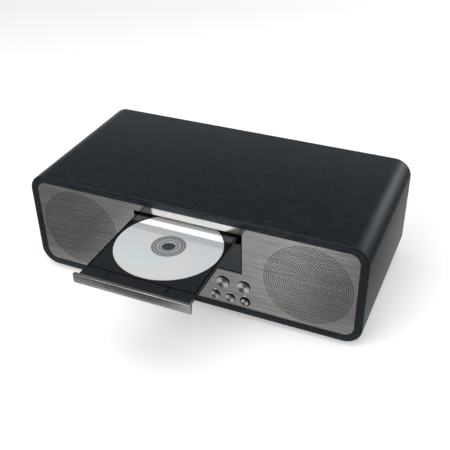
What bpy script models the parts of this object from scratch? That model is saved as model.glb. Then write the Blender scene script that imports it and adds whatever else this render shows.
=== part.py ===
"""Mini hifi system: a rounded cabinet with two speakers, a display, ten keys and a CD drawer.

Pieces are placed in cabinet coordinates: x to the listener's right, y from front to back with 0 at
mid-depth, z up from the underside. The empties add the drawer's overhang and the feet, so that the
world origin is the middle of the base. The drawer stands open at rest.
"""

import math

import bmesh
import bpy
from mathutils import Matrix, Vector

MM = 0.001

# Clearances
TOUCH = 0.3 * MM  # between pieces that meet
BORE_PLAY = 0.3 * MM  # a post in its bore
KEY_PLAY = 0.35 * MM  # a key in its hole

# Cabinet
CABINET_WIDTH = 420 * MM
CABINET_HEIGHT = 130 * MM
CABINET_DEPTH = 202 * MM
CORNER_RADIUS = 22 * MM
WALL = 10 * MM
RIM = 5.5 * MM  # cabinet edge left showing round the front panel
PANEL_GAP = 0.5 * MM
PANEL_RECESS = 0.8 * MM
PANEL_THICKNESS = 2 * MM
BAFFLE_THICKNESS = 9 * MM
REAR_RECESS = 3 * MM
REAR_THICKNESS = 3 * MM
FOOT_HEIGHT = 6 * MM
FOOT_RADIUS = 12 * MM
FOOT_INSET = 36 * MM  # foot centre to the cabinet's sides

# Compact disc and drawer
DISC_DIAMETER = 120 * MM
DISC_HOLE_RADIUS = 7.5 * MM
DISC_THICKNESS = 1.2 * MM
TRAY_TRAVEL = DISC_DIAMETER + 8 * MM
TRAY_SIDE = 3 * MM  # tray left beside the disc
TRAY_FRONT_MARGIN = 24.5 * MM  # disc edge to the strip's face
TRAY_TAIL = 25 * MM  # tray left behind the disc
TRAY_EDGE = 5 * MM
TRAY_TOP_DROP = 2.9 * MM  # slot's upper edge to the tray's top
DISC_SINK = 0.9 * MM
DISC_POCKET_PLAY = 0.6 * MM
GROOVE_WIDTH = 0.9 * MM
GROOVE_DEPTH = 0.8 * MM
GROOVE_BEHIND_STRIP = 21 * MM
NOTCH_LENGTH = 10 * MM
NOTCH_SPREAD = 34 * MM
SLOT_TOP_DROP = 18.1 * MM  # cabinet top to the slot's upper edge
SLOT_HEIGHT = 12.1 * MM
SLOT_SIDE = 4.5 * MM  # slot left beside the tray
STRIP_GAP = 0.5 * MM
STRIP_THICKNESS = 4 * MM
STRIP_PROUD = 0.3 * MM
SPINDLE_WINDOW_RADIUS = 18 * MM
LASER_WINDOW_HALF = 13 * MM
LASER_WINDOW_LENGTH = DISC_DIAMETER / 2 - 4 * MM

# Keys
BIG_KEY_RADIUS = 7.7 * MM
SMALL_KEY_RADIUS = 5.4 * MM
POWER_KEY_RADIUS = 4.7 * MM
POWER_HOLE_RADIUS = 6.5 * MM
KEY_STEM_RADIUS = 2.5 * MM
KEY_PROUD = 1.7 * MM
KEY_TRAVEL = 1.2 * MM
BIG_KEY_HEIGHT = 40 * MM
SMALL_KEY_HEIGHT = 19.2 * MM
BIG_KEY_PLACES = (43.6 * MM, 69.5 * MM)
SMALL_KEY_PLACES = (33.8 * MM, 52.6 * MM, 71.3 * MM)
KEY_TO_WINDOW = 10.3 * MM

# USB socket
USB_HALF_WIDTH = 6.1 * MM
USB_HALF_HEIGHT = 2.4 * MM
USB_SHELL = 0.9 * MM
USB_DEPTH = 16 * MM

# Rear sockets
SOCKET_HEIGHT = 30 * MM
INLET_FROM_SIDE = 60 * MM
INLET_HALF_WIDTH = 11 * MM
INLET_HALF_HEIGHT = 6.5 * MM
INLET_DEPTH = 18 * MM
AERIAL_FROM_SIDE = 60 * MM
AERIAL_RADIUS = 6 * MM
AUDIO_FROM_SIDE = 95 * MM
AUDIO_RADIUS = 4 * MM

# Electronics
MAIN_BOARD_HALF_WIDTH = 60 * MM
MAIN_BOARD_FRONT = -40 * MM
BOARD_THICKNESS = 1.6 * MM
BOARD_TO_REAR = 15 * MM
TRANSFORMER_WIDTH = 44 * MM
TRANSFORMER_DEPTH = 38 * MM
TRANSFORMER_HEIGHT = 36 * MM
HEAT_SINK_HALF_WIDTH = 20 * MM
HEAT_SINK_DEPTH = 30 * MM
HEAT_SINK_HEIGHT = 18 * MM

# Speakers
GRILLE_BORDER = 6.3 * MM
DRIVER_AIR = 7 * MM  # driver rim to the cabinet wall
CHASSIS_AIR = 2 * MM  # driver rim to the CD loader
DRIVER_DEPTH = 42 * MM
CONE_TRAVEL = 1.5 * MM

# Gears
GEAR_MODULE = 1 * MM
PRESSURE_ANGLE = math.radians(20)
ADDENDUM = 0.8 * GEAR_MODULE
DEDENDUM = 1.05 * GEAR_MODULE
BACKLASH = 0.25 * MM
TRAY_GEAR_TEETH = 20
PINION_TEETH = 14
SLED_GEAR_TEETH = 14
PULLEY_RADIUS = 12 * MM
MOTOR_PULLEY_RADIUS = 4 * MM
PULLEY_GROOVE = 1 * MM
BELT_RADIUS = 0.6 * MM
BELT_PLAY = 0.35 * MM
POST_RADIUS = 2 * MM
SHOULDER_RADIUS = 4 * MM
PULLEY_WIDTH = 4 * MM
MOTOR_DISTANCE = 47 * MM  # between the two pulleys' axes

# CD loader
CHASSIS_DEPTH_BELOW_TRAY = 20 * MM
CHASSIS_FLOOR = 2.5 * MM
CHASSIS_SIDE = 11 * MM  # beside the tray
LEDGE = 3 * MM
DECK_DROP_ANGLE = math.radians(4)
DECK_THICKNESS = 2 * MM
DECK_BELOW_TRAY = 10 * MM
DECK_HALF_WIDTH = 43 * MM
HINGE_BEHIND_DISC = 78 * MM
SLED_TRAVEL = DISC_DIAMETER / 2 - 26 * MM
SLED_START = 24 * MM  # disc centre to the lens
SLED_HALF_WIDTH = 23 * MM
SLED_HALF_LENGTH = 10 * MM
ROD_RADIUS = 1.5 * MM
ROD_X = 19 * MM
SPINDLE_RADIUS = 12 * MM
EAR_HALF = 4 * MM

# Places that follow from the sizes above
HALF_WIDTH = CABINET_WIDTH / 2
FRONT = -CABINET_DEPTH / 2
REAR = CABINET_DEPTH / 2
MIDDLE = CABINET_HEIGHT / 2
PANEL_FACE = FRONT + PANEL_RECESS
PANEL_BACK = PANEL_FACE + PANEL_THICKNESS
PANEL_EDGE = RIM + PANEL_GAP
BAFFLE_FACE = PANEL_BACK + TOUCH
BAFFLE_BACK = BAFFLE_FACE + BAFFLE_THICKNESS
REAR_FACE = REAR - REAR_RECESS
REAR_BACK = REAR_FACE - REAR_THICKNESS
DISC_RADIUS = DISC_DIAMETER / 2
TRAY_HALF = DISC_RADIUS + TRAY_SIDE
SLOT_HALF = TRAY_HALF + SLOT_SIDE
SLOT_TOP = CABINET_HEIGHT - SLOT_TOP_DROP
SLOT_BOTTOM = SLOT_TOP - SLOT_HEIGHT
WINDOW_BOTTOM = BIG_KEY_HEIGHT + BIG_KEY_RADIUS + KEY_TO_WINDOW
TRAY_TOP = SLOT_TOP - TRAY_TOP_DROP
TRAY_BOTTOM = TRAY_TOP - TRAY_EDGE
DISC_BOTTOM = TRAY_TOP - DISC_SINK - DISC_THICKNESS
POCKET_FLOOR = DISC_BOTTOM - TOUCH
STRIP_FRONT = PANEL_FACE - STRIP_PROUD - TRAY_TRAVEL
TRAY_FRONT = STRIP_FRONT + STRIP_THICKNESS + TOUCH
DISC_Y = STRIP_FRONT + TRAY_FRONT_MARGIN + DISC_RADIUS
TRAY_REAR = DISC_Y + DISC_RADIUS + TRAY_TAIL
DISC_Y_CLOSED = DISC_Y + TRAY_TRAVEL
CHASSIS_HALF = TRAY_HALF + CHASSIS_SIDE
CHASSIS_FRONT = BAFFLE_BACK + 5 * MM
CHASSIS_REAR = TRAY_REAR + TRAY_TRAVEL + 19 * MM
CHASSIS_BOTTOM = TRAY_BOTTOM - CHASSIS_DEPTH_BELOW_TRAY
CHASSIS_FLOOR_TOP = CHASSIS_BOTTOM + CHASSIS_FLOOR
CHASSIS_TOP = TRAY_TOP + LEDGE
GEAR_Y = BAFFLE_BACK + 21 * MM
RACK_X = DISC_RADIUS - 6 * MM
GEAR_TOP = TRAY_BOTTOM - 0.5 * MM
GEAR_THICKNESS = 4.5 * MM
PINION_X = RACK_X - GEAR_MODULE * TRAY_GEAR_TEETH / 2
PULLEY_X = PINION_X - GEAR_MODULE * (TRAY_GEAR_TEETH + PINION_TEETH) / 2
MOTOR_X = PULLEY_X - MOTOR_DISTANCE
PULLEY_TOP = GEAR_TOP - GEAR_THICKNESS - 2 * MM
BELT_Z = PULLEY_TOP - PULLEY_WIDTH / 2
DECK_TOP = TRAY_BOTTOM - DECK_BELOW_TRAY
DECK_BOTTOM = DECK_TOP - DECK_THICKNESS
ROD_Z = DECK_BOTTOM - 4 * MM
SLED_Y = DISC_Y_CLOSED + SLED_START
SLED_RACK_X = SLED_HALF_WIDTH + TOUCH + 4 * GEAR_MODULE
SLED_GEAR_X = SLED_RACK_X + GEAR_MODULE * SLED_GEAR_TEETH / 2
SLED_GEAR_Y = SLED_Y + 4 * MM
HINGE_Y = DISC_Y_CLOSED + HINGE_BEHIND_DISC
HINGE_Z = DECK_TOP - DECK_THICKNESS / 2
GRILLE_RADIUS = min(
    MIDDLE - PANEL_EDGE - GRILLE_BORDER,
    (HALF_WIDTH - PANEL_EDGE - SLOT_HALF) / 2 - GRILLE_BORDER,
)
GRILLE_X = HALF_WIDTH - PANEL_EDGE - GRILLE_BORDER - GRILLE_RADIUS
DRIVER_RADIUS = min(
    MIDDLE - WALL - DRIVER_AIR,
    GRILLE_X - CHASSIS_HALF - CHASSIS_AIR,
    HALF_WIDTH - WALL - CHASSIS_AIR - GRILLE_X,
)
MEMBRANE_RADIUS = DRIVER_RADIUS - 8 * MM
DRIVER_FRONT = BAFFLE_BACK + TOUCH
REST_CENTRE_Y = (STRIP_FRONT + REAR) / 2

# name: (colour, roughness, metallic)
LOOKS = {
    "black_wrap": ((0.024, 0.028, 0.032), 0.45, 0.0),
    "brushed_panel": ((0.28, 0.27, 0.26), 0.32, 1.0),
    "grille": ((0.20, 0.19, 0.18), 0.40, 1.0),
    "key_metal": ((0.42, 0.41, 0.40), 0.28, 1.0),
    "fibreboard": ((0.050, 0.045, 0.040), 0.80, 0.0),
    "black_plastic": ((0.022, 0.025, 0.028), 0.40, 0.0),
    "dark_window": ((0.050, 0.058, 0.066), 0.12, 0.0),
    "rubber": ((0.015, 0.015, 0.015), 0.85, 0.0),
    "paper_cone": ((0.030, 0.030, 0.032), 0.70, 0.0),
    "steel": ((0.45, 0.45, 0.46), 0.35, 1.0),
    "ferrite": ((0.06, 0.06, 0.065), 0.60, 0.0),
    "circuit_board": ((0.03, 0.16, 0.07), 0.50, 0.0),
    "aluminium": ((0.62, 0.63, 0.64), 0.35, 1.0),
    "white_gear": ((0.75, 0.74, 0.70), 0.45, 0.0),
    "disc_silver": ((0.78, 0.80, 0.82), 0.12, 1.0),
}


def clear_scene():
    for obj in list(bpy.data.objects):
        bpy.data.objects.remove(obj, do_unlink=True)


def new_collection(name):
    collection = bpy.data.collections.new(name)
    bpy.context.scene.collection.children.link(collection)
    return collection


clear_scene()
PARTS = new_collection("mini_hifi_system")
CUTTERS = new_collection("cutters")


class Frame:
    """An empty on a joint's axis. Pieces are placed in it by their cabinet coordinates."""

    def __init__(self, name, origin, parent=None, tilt=0.0):
        self.origin = Vector(origin)
        self.empty = bpy.data.objects.new(name, None)
        self.empty.empty_display_size = 10 * MM
        PARTS.objects.link(self.empty)
        self.empty.rotation_euler.x = tilt
        if parent is None:
            self.empty.location = (0, -REST_CENTRE_Y, FOOT_HEIGHT)
        else:
            self.empty.parent = parent.empty
            self.empty.location = self.origin - parent.origin


def material(look):
    found = bpy.data.materials.get(look)
    if found:
        return found
    colour, roughness, metallic = LOOKS[look]
    made = bpy.data.materials.new(look)
    made.use_nodes = True
    shader = made.node_tree.nodes["Principled BSDF"]
    shader.inputs["Base Color"].default_value = (*colour, 1.0)
    shader.inputs["Roughness"].default_value = roughness
    shader.inputs["Metallic"].default_value = metallic
    made.diffuse_color = (*colour, 1.0)
    return made


def place(obj, centre, look, frame):
    PARTS.objects.link(obj)
    obj.data.materials.append(material(look))
    obj.parent = frame.empty
    obj.location = Vector(centre) - frame.origin
    return obj


def mesh_piece(name, bm, centre, look, frame, smooth=False):
    mesh = bpy.data.meshes.new(name)
    bm.to_mesh(mesh)
    bm.free()
    if smooth:
        mesh.shade_smooth()
        mesh.set_sharp_from_angle(angle=math.radians(35))
    return place(bpy.data.objects.new(name, mesh), centre, look, frame)


def block(name, low, high, look, frame, axis="Z", radius=0.0, segments=4):
    """A box between two corners, with its edges along axis rounded."""
    low, high = Vector(low), Vector(high)
    size = high - low
    bm = bmesh.new()
    bmesh.ops.create_cube(bm, size=1.0)
    bmesh.ops.scale(bm, vec=size, verts=bm.verts)
    if radius:
        along = "XYZ".index(axis)
        half = size[along] / 2
        edges = [e for e in bm.edges if abs(e.verts[0].co[along] - e.verts[1].co[along]) > half]
        bmesh.ops.bevel(
            bm, geom=edges, offset=radius, segments=segments, profile=0.5, affect="EDGES"
        )
    return mesh_piece(name, bm, (low + high) / 2, look, frame, smooth=radius > 0)


def rod(name, start, radius, length, look, frame, axis="Z", segments=32):
    """A cylinder that runs from start towards +axis."""
    bm = bmesh.new()
    bmesh.ops.create_cone(
        bm, cap_ends=True, segments=segments, radius1=radius, radius2=radius, depth=length
    )
    direction = Vector([float(letter == axis) for letter in "XYZ"])
    turn = Vector((0, 0, 1)).rotation_difference(direction).to_matrix()
    bmesh.ops.rotate(bm, matrix=turn, verts=bm.verts)
    return mesh_piece(name, bm, Vector(start) + direction * length / 2, look, frame, smooth=True)


def turned(name, profile, centre, look, frame, to_front=False, ring=False, steps=32):
    """A lathe shape from (radius, height) points that run down its outer side.

    Height is along +Z, or towards the front. A ring's profile closes on itself round a bore.
    """
    bm = bmesh.new()
    points = [bm.verts.new((radius, 0, height)) for radius, height in profile]
    for first, second in zip(points, points[1:]):
        bm.edges.new((first, second))
    if ring:
        bm.edges.new((points[-1], points[0]))
    obj = mesh_piece(name, bm, centre, look, frame)
    screw = obj.modifiers.new("lathe", "SCREW")
    screw.steps = steps
    screw.render_steps = steps
    screw.use_merge_vertices = True
    screw.merge_threshold = 0.00001
    if to_front:
        obj.rotation_euler.x = math.radians(90)
    return obj


def combine(target, tool, operation):
    modifier = target.modifiers.new(tool.name, "BOOLEAN")
    modifier.operation = operation
    modifier.solver = "EXACT"
    modifier.object = tool
    PARTS.objects.unlink(tool)
    CUTTERS.objects.link(tool)
    tool.hide_render = True
    tool.display_type = "WIRE"


def cut(target, *tools):
    for tool in tools:
        combine(target, tool, "DIFFERENCE")


def join(target, *tools):
    for tool in tools:
        combine(target, tool, "UNION")


def flat_outline(name, outlines, thickness, centre, look, frame):
    """A plate of this thickness from closed outlines: the first is its edge, the rest its holes."""
    curve = bpy.data.curves.new(name, "CURVE")
    curve.dimensions = "2D"
    curve.fill_mode = "BOTH"
    curve.extrude = thickness / 2
    for outline in outlines:
        spline = curve.splines.new("POLY")
        spline.points.add(len(outline) - 1)
        for point, (x, y) in zip(spline.points, outline):
            point.co = (x, y, 0, 1)
        spline.use_cyclic_u = True
    return place(bpy.data.objects.new(name, curve), centre, look, frame)


def as_mesh(obj):
    """The curve object made a mesh object of the same name, with its caps welded."""
    bpy.context.view_layer.update()
    evaluated = obj.evaluated_get(bpy.context.evaluated_depsgraph_get())
    mesh = bpy.data.meshes.new_from_object(evaluated)
    bm = bmesh.new()
    bm.from_mesh(mesh)
    bmesh.ops.remove_doubles(bm, verts=bm.verts, dist=0.001 * MM)
    bmesh.ops.recalc_face_normals(bm, faces=bm.faces)
    bm.to_mesh(mesh)
    bm.free()
    name, parent, location = obj.name, obj.parent, obj.location.copy()
    curve = obj.data
    bpy.data.objects.remove(obj)
    bpy.data.curves.remove(curve)
    made = bpy.data.objects.new(name, mesh)
    PARTS.objects.link(made)
    made.parent = parent
    made.location = location
    return made


def circle(radius, points=16):
    turn = 2 * math.pi / points
    return [(radius * math.cos(i * turn), radius * math.sin(i * turn)) for i in range(points)]


def pitch_radius(teeth):
    return GEAR_MODULE * teeth / 2


def gear_outline(teeth, turn=0.0, flank_points=3):
    """Involute teeth, one of them centred on the angle turn."""
    pitch = pitch_radius(teeth)
    base = pitch * math.cos(PRESSURE_ANGLE)
    root, tip = pitch - DEDENDUM, pitch + ADDENDUM
    at_pitch = math.tan(PRESSURE_ANGLE) - PRESSURE_ANGLE
    half_tooth = math.pi / (2 * teeth) - BACKLASH / (2 * pitch)
    flank = [(root, half_tooth + at_pitch)]
    for i in range(flank_points):
        radius = base + (tip - base) * i / (flank_points - 1)
        roll = math.sqrt(max((radius / base) ** 2 - 1, 0.0))
        flank.append((radius, half_tooth + at_pitch - (roll - math.atan(roll))))
    outline = []
    for tooth in range(teeth):
        middle = turn + 2 * math.pi * tooth / teeth
        sides = [(r, middle - a) for r, a in flank] + [(r, middle + a) for r, a in reversed(flank)]
        outline += [(r * math.cos(a), r * math.sin(a)) for r, a in sides]
    return outline


def rack_outline(low, high, facing):
    """A bar along y from low to high whose teeth point to facing * x, with its pitch line at x 0.

    y 0 is the middle of a gap.
    """
    pitch = math.pi * GEAR_MODULE
    slope = math.tan(PRESSURE_ANGLE)
    half_tooth = pitch / 4 - BACKLASH / 2
    back = -facing * 4 * GEAR_MODULE
    outline = [(back, high), (back, low), (-facing * DEDENDUM, low)]
    first = math.ceil((low + half_tooth + DEDENDUM * slope) / pitch - 0.5)
    last = math.floor((high - half_tooth - DEDENDUM * slope) / pitch - 0.5)
    for tooth in range(first, last + 1):
        middle = (tooth + 0.5) * pitch
        at_root = half_tooth + DEDENDUM * slope
        at_tip = half_tooth - ADDENDUM * slope
        outline += [
            (-facing * DEDENDUM, middle - at_root),
            (facing * ADDENDUM, middle - at_tip),
            (facing * ADDENDUM, middle + at_tip),
            (-facing * DEDENDUM, middle + at_root),
        ]
    outline.append((-facing * DEDENDUM, high))
    return outline


def key_sites():
    """(name, x, z, key radius, hole radius) of the ten keys."""
    sites = []
    for side, sign in (("left", -1), ("right", 1)):
        for place_name, x in zip(("inner", "outer"), BIG_KEY_PLACES):
            hole = BIG_KEY_RADIUS + KEY_PLAY
            sites.append((f"key_big_{place_name}_{side}", sign * x, BIG_KEY_HEIGHT, BIG_KEY_RADIUS, hole))
        for place_name, x in zip(("inner", "middle", "outer"), SMALL_KEY_PLACES):
            is_power = side == "right" and place_name == "outer"
            name = "power_key" if is_power else f"key_small_{place_name}_{side}"
            radius = POWER_KEY_RADIUS if is_power else SMALL_KEY_RADIUS
            hole = POWER_HOLE_RADIUS if is_power else SMALL_KEY_RADIUS + KEY_PLAY
            sites.append((name, sign * x, SMALL_KEY_HEIGHT, radius, hole))
    return sites


def framed_block(name, inset, front, back, look, frame):
    """A block that follows the cabinet's outline, inset from it all round."""
    return block(
        name,
        (-HALF_WIDTH + inset, front, inset),
        (HALF_WIDTH - inset, back, CABINET_HEIGHT - inset),
        look,
        frame,
        axis="Y",
        radius=CORNER_RADIUS - inset if inset < CORNER_RADIUS else 0.0,
        segments=8,
    )


def make_cabinet(cabinet):
    beyond = 5 * MM
    sleeve = framed_block("cabinet_sleeve", 0.0, FRONT, REAR, "black_wrap", cabinet)
    cut(
        sleeve,
        framed_block("cut_inside", WALL, FRONT - beyond, REAR + beyond, "fibreboard", cabinet),
        framed_block("cut_front_rebate", RIM, FRONT - beyond, BAFFLE_FACE, "fibreboard", cabinet),
        framed_block(
            "cut_rear_rebate", RIM, REAR_BACK - TOUCH, REAR + beyond, "fibreboard", cabinet
        ),
    )
    for side, x in (("left", -HALF_WIDTH + FOOT_INSET), ("right", HALF_WIDTH - FOOT_INSET)):
        for end, y in (("front", FRONT + FOOT_INSET), ("rear", REAR - FOOT_INSET)):
            profile = [
                (0, -TOUCH),
                (FOOT_RADIUS, -TOUCH),
                (FOOT_RADIUS, -FOOT_HEIGHT + 1 * MM),
                (FOOT_RADIUS - 1 * MM, -FOOT_HEIGHT),
                (0, -FOOT_HEIGHT),
            ]
            turned(f"foot_{end}_{side}", profile, (x, y, 0), "rubber", cabinet, steps=20)


def make_front(cabinet):
    """The metal panel with its openings, the grilles that fill two of them, and the baffle board."""
    beyond = 2 * MM
    panel = framed_block("front_panel", PANEL_EDGE, PANEL_FACE, PANEL_BACK, "brushed_panel", cabinet)
    baffle = framed_block(
        "front_baffle", WALL + TOUCH, BAFFLE_FACE, BAFFLE_BACK, "fibreboard", cabinet
    )
    through = PANEL_THICKNESS + 2 * beyond
    baffle_through = BAFFLE_THICKNESS + 2 * beyond
    cut(
        panel,
        block(
            "cut_centre",
            (-SLOT_HALF, PANEL_FACE - beyond, WINDOW_BOTTOM),
            (SLOT_HALF, PANEL_BACK + beyond, SLOT_TOP),
            "fibreboard",
            cabinet,
        ),
    )
    cut(
        baffle,
        block(
            "cut_baffle_centre",
            (-SLOT_HALF - beyond, BAFFLE_FACE - beyond, WINDOW_BOTTOM - beyond),
            (SLOT_HALF + beyond, BAFFLE_BACK + beyond, SLOT_TOP + beyond),
            "fibreboard",
            cabinet,
        ),
    )
    for side, x in (("left", -GRILLE_X), ("right", GRILLE_X)):
        start = (x, PANEL_FACE - beyond, MIDDLE)
        hole = rod(f"cut_grille_{side}", start, GRILLE_RADIUS, through, "grille", cabinet, "Y", 48)
        cut(panel, hole)
        rod(
            f"speaker_grille_{side}",
            (x, PANEL_FACE, MIDDLE),
            GRILLE_RADIUS - TOUCH,
            PANEL_THICKNESS,
            "grille",
            cabinet,
            "Y",
            48,
        )
        start = (x, BAFFLE_FACE - beyond, MIDDLE)
        radius = MEMBRANE_RADIUS + 1 * MM
        cut(
            baffle,
            rod(f"cut_driver_{side}", start, radius, baffle_through, "grille", cabinet, "Y", 32),
        )
    for name, x, z, _, hole_radius in key_sites():
        start = (x, PANEL_FACE - beyond, z)
        cut(panel, rod(f"cut_{name}", start, hole_radius, through, "grille", cabinet, "Y", 24))
        start = (x, BAFFLE_FACE - beyond, z)
        radius = hole_radius + 0.5 * MM
        cut(
            baffle,
            rod(f"cut_baffle_{name}", start, radius, baffle_through, "grille", cabinet, "Y", 16),
        )
    make_usb_socket(cabinet, panel, baffle)


def make_usb_socket(cabinet, panel, baffle):
    """A metal shell with an open mouth, in a hole through the panel and the baffle."""

    def slot(name, half_width, half_height, front, back):
        low = (-half_width, front, SMALL_KEY_HEIGHT - half_height)
        high = (half_width, back, SMALL_KEY_HEIGHT + half_height)
        return block(name, low, high, "steel", cabinet)

    face = PANEL_FACE + 0.3 * MM
    outer_width, outer_height = USB_HALF_WIDTH + USB_SHELL, USB_HALF_HEIGHT + USB_SHELL
    shell = slot("usb_socket", outer_width, outer_height, face, face + USB_DEPTH)
    mouth = slot("cut_usb_mouth", USB_HALF_WIDTH, USB_HALF_HEIGHT, face - 2 * MM, face + USB_DEPTH - 2 * MM)
    cut(shell, mouth)
    hole_width, hole_height = outer_width + TOUCH, outer_height + TOUCH
    for name, target, front, back in (
        ("cut_usb_panel", panel, PANEL_FACE - 2 * MM, PANEL_BACK + 2 * MM),
        ("cut_usb_baffle", baffle, BAFFLE_FACE - 2 * MM, BAFFLE_BACK + 2 * MM),
    ):
        cut(target, slot(name, hole_width, hole_height, front, back))


def make_display(cabinet):
    """The window pane below the slot and the display module behind it."""
    side_gap = 0.4 * MM
    pane_face = PANEL_FACE + 0.3 * MM
    pane_back = pane_face + 2 * MM
    block(
        "display_window",
        (-SLOT_HALF + side_gap, pane_face, WINDOW_BOTTOM + side_gap),
        (SLOT_HALF - side_gap, pane_back, SLOT_BOTTOM - side_gap),
        "dark_window",
        cabinet,
    )
    edge = 6 * MM
    module_edge = 2 * MM
    block(
        "display_module",
        (-SLOT_HALF + edge, pane_back + TOUCH, WINDOW_BOTTOM + module_edge),
        (SLOT_HALF - edge, BAFFLE_BACK, SLOT_BOTTOM - module_edge),
        "black_plastic",
        cabinet,
    )


def make_keys(cabinet):
    """Ten turned keys, each on its own press axis, and the switch boards behind them."""
    stem_end = BAFFLE_FACE + 6 * MM
    head_back = BAFFLE_FACE + 2 * MM
    switch_top = stem_end + KEY_TRAVEL + 0.6 * MM
    board_face = BAFFLE_BACK + 2 * MM
    boards = {}
    for side, sign in (("left", -1), ("right", 1)):
        inner, outer = SMALL_KEY_PLACES[0] - 8 * MM, SMALL_KEY_PLACES[-1] + 8 * MM
        low_x, high_x = sorted((sign * inner, sign * outer))
        boards[sign] = block(
            f"key_board_{side}",
            (low_x, board_face, WALL + 2 * MM),
            (high_x, board_face + BOARD_THICKNESS, BIG_KEY_HEIGHT + 6 * MM),
            "circuit_board",
            cabinet,
        )
    for name, x, z, radius, _ in key_sites():
        press = Frame(f"{name}_press", (x, PANEL_FACE, z), cabinet)
        front = KEY_PROUD
        bevel = 0.4 * MM
        dish = 0.25 * MM
        head = PANEL_FACE - head_back
        stem = PANEL_FACE - stem_end
        profile = [
            (0, front - dish),
            (radius - 2 * bevel, front),
            (radius - bevel, front),
            (radius, front - bevel),
            (radius, head),
            (KEY_STEM_RADIUS, head),
            (KEY_STEM_RADIUS, stem),
            (0, stem),
        ]
        turned(name, profile, (x, PANEL_FACE, z), "key_metal", press, to_front=True, steps=20)
        half = 3 * MM
        switch = block(
            f"join_switch_{name}",
            (x - half, switch_top, z - half),
            (x + half, board_face + BOARD_THICKNESS / 2, z + half),
            "black_plastic",
            cabinet,
        )
        join(boards[1 if x > 0 else -1], switch)


def make_speaker(cabinet, side, x):
    """A driver behind the baffle: basket, magnet, surround, and a cone that moves."""
    centre = (x, DRIVER_FRONT, MIDDLE)
    rim = 3 * MM
    throat = DRIVER_RADIUS * 0.5
    collar = throat - 2 * MM
    back = -(DRIVER_DEPTH - 20 * MM)
    basket = [
        (DRIVER_RADIUS, 0),
        (DRIVER_RADIUS, -rim),
        (MEMBRANE_RADIUS + 2 * MM, -rim),
        (throat + 2 * MM, back),
        (collar, back),
        (collar, back + 2 * MM),
        (throat, back + 2 * MM),
        (MEMBRANE_RADIUS, -rim + 1 * MM),
        (MEMBRANE_RADIUS, 0),
    ]
    turned(f"driver_basket_{side}", basket, centre, "steel", cabinet, to_front=True, ring=True)
    magnet_front = back - TOUCH
    magnet_radius = DRIVER_RADIUS * 0.62
    pole = 9 * MM
    magnet = [
        (0, magnet_front + 4 * MM),
        (pole, magnet_front + 4 * MM),
        (pole, magnet_front),
        (magnet_radius, magnet_front),
        (magnet_radius, -DRIVER_DEPTH),
        (0, -DRIVER_DEPTH),
    ]
    turned(f"driver_magnet_{side}", magnet, centre, "ferrite", cabinet, to_front=True)
    cone_edge = MEMBRANE_RADIUS - 7 * MM
    roll_top = 2.5 * MM
    surround = [
        (MEMBRANE_RADIUS - TOUCH, 0.0),
        (MEMBRANE_RADIUS - TOUCH, -1 * MM),
        (cone_edge + TOUCH, -1 * MM),
        (cone_edge + TOUCH, 0.0),
        (cone_edge + 2 * MM, roll_top),
        (MEMBRANE_RADIUS - 2 * MM, roll_top),
    ]
    surround = surround[3:] + surround[:3]
    turned(f"cone_surround_{side}", surround, centre, "rubber", cabinet, to_front=True, ring=True)
    travel = Frame(f"cone_travel_{side}", centre, cabinet)
    dust_cap = 12 * MM
    coil = pole + 1.5 * MM
    neck = back + 6 * MM
    skin = 1.2 * MM
    cone = [
        (0, neck + 6 * MM),
        (dust_cap * 0.6, neck + 5 * MM),
        (dust_cap, neck + 2 * MM),
        (cone_edge, -0.2 * MM),
        (cone_edge, -0.2 * MM - skin),
        (coil + skin, neck - skin),
        (coil + skin, back + 1 * MM + CONE_TRAVEL),
        (coil, back + 1 * MM + CONE_TRAVEL),
        (coil, neck),
        (0, neck + 4 * MM),
    ]
    turned(f"speaker_cone_{side}", cone, centre, "paper_cone", travel, to_front=True)


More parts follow.
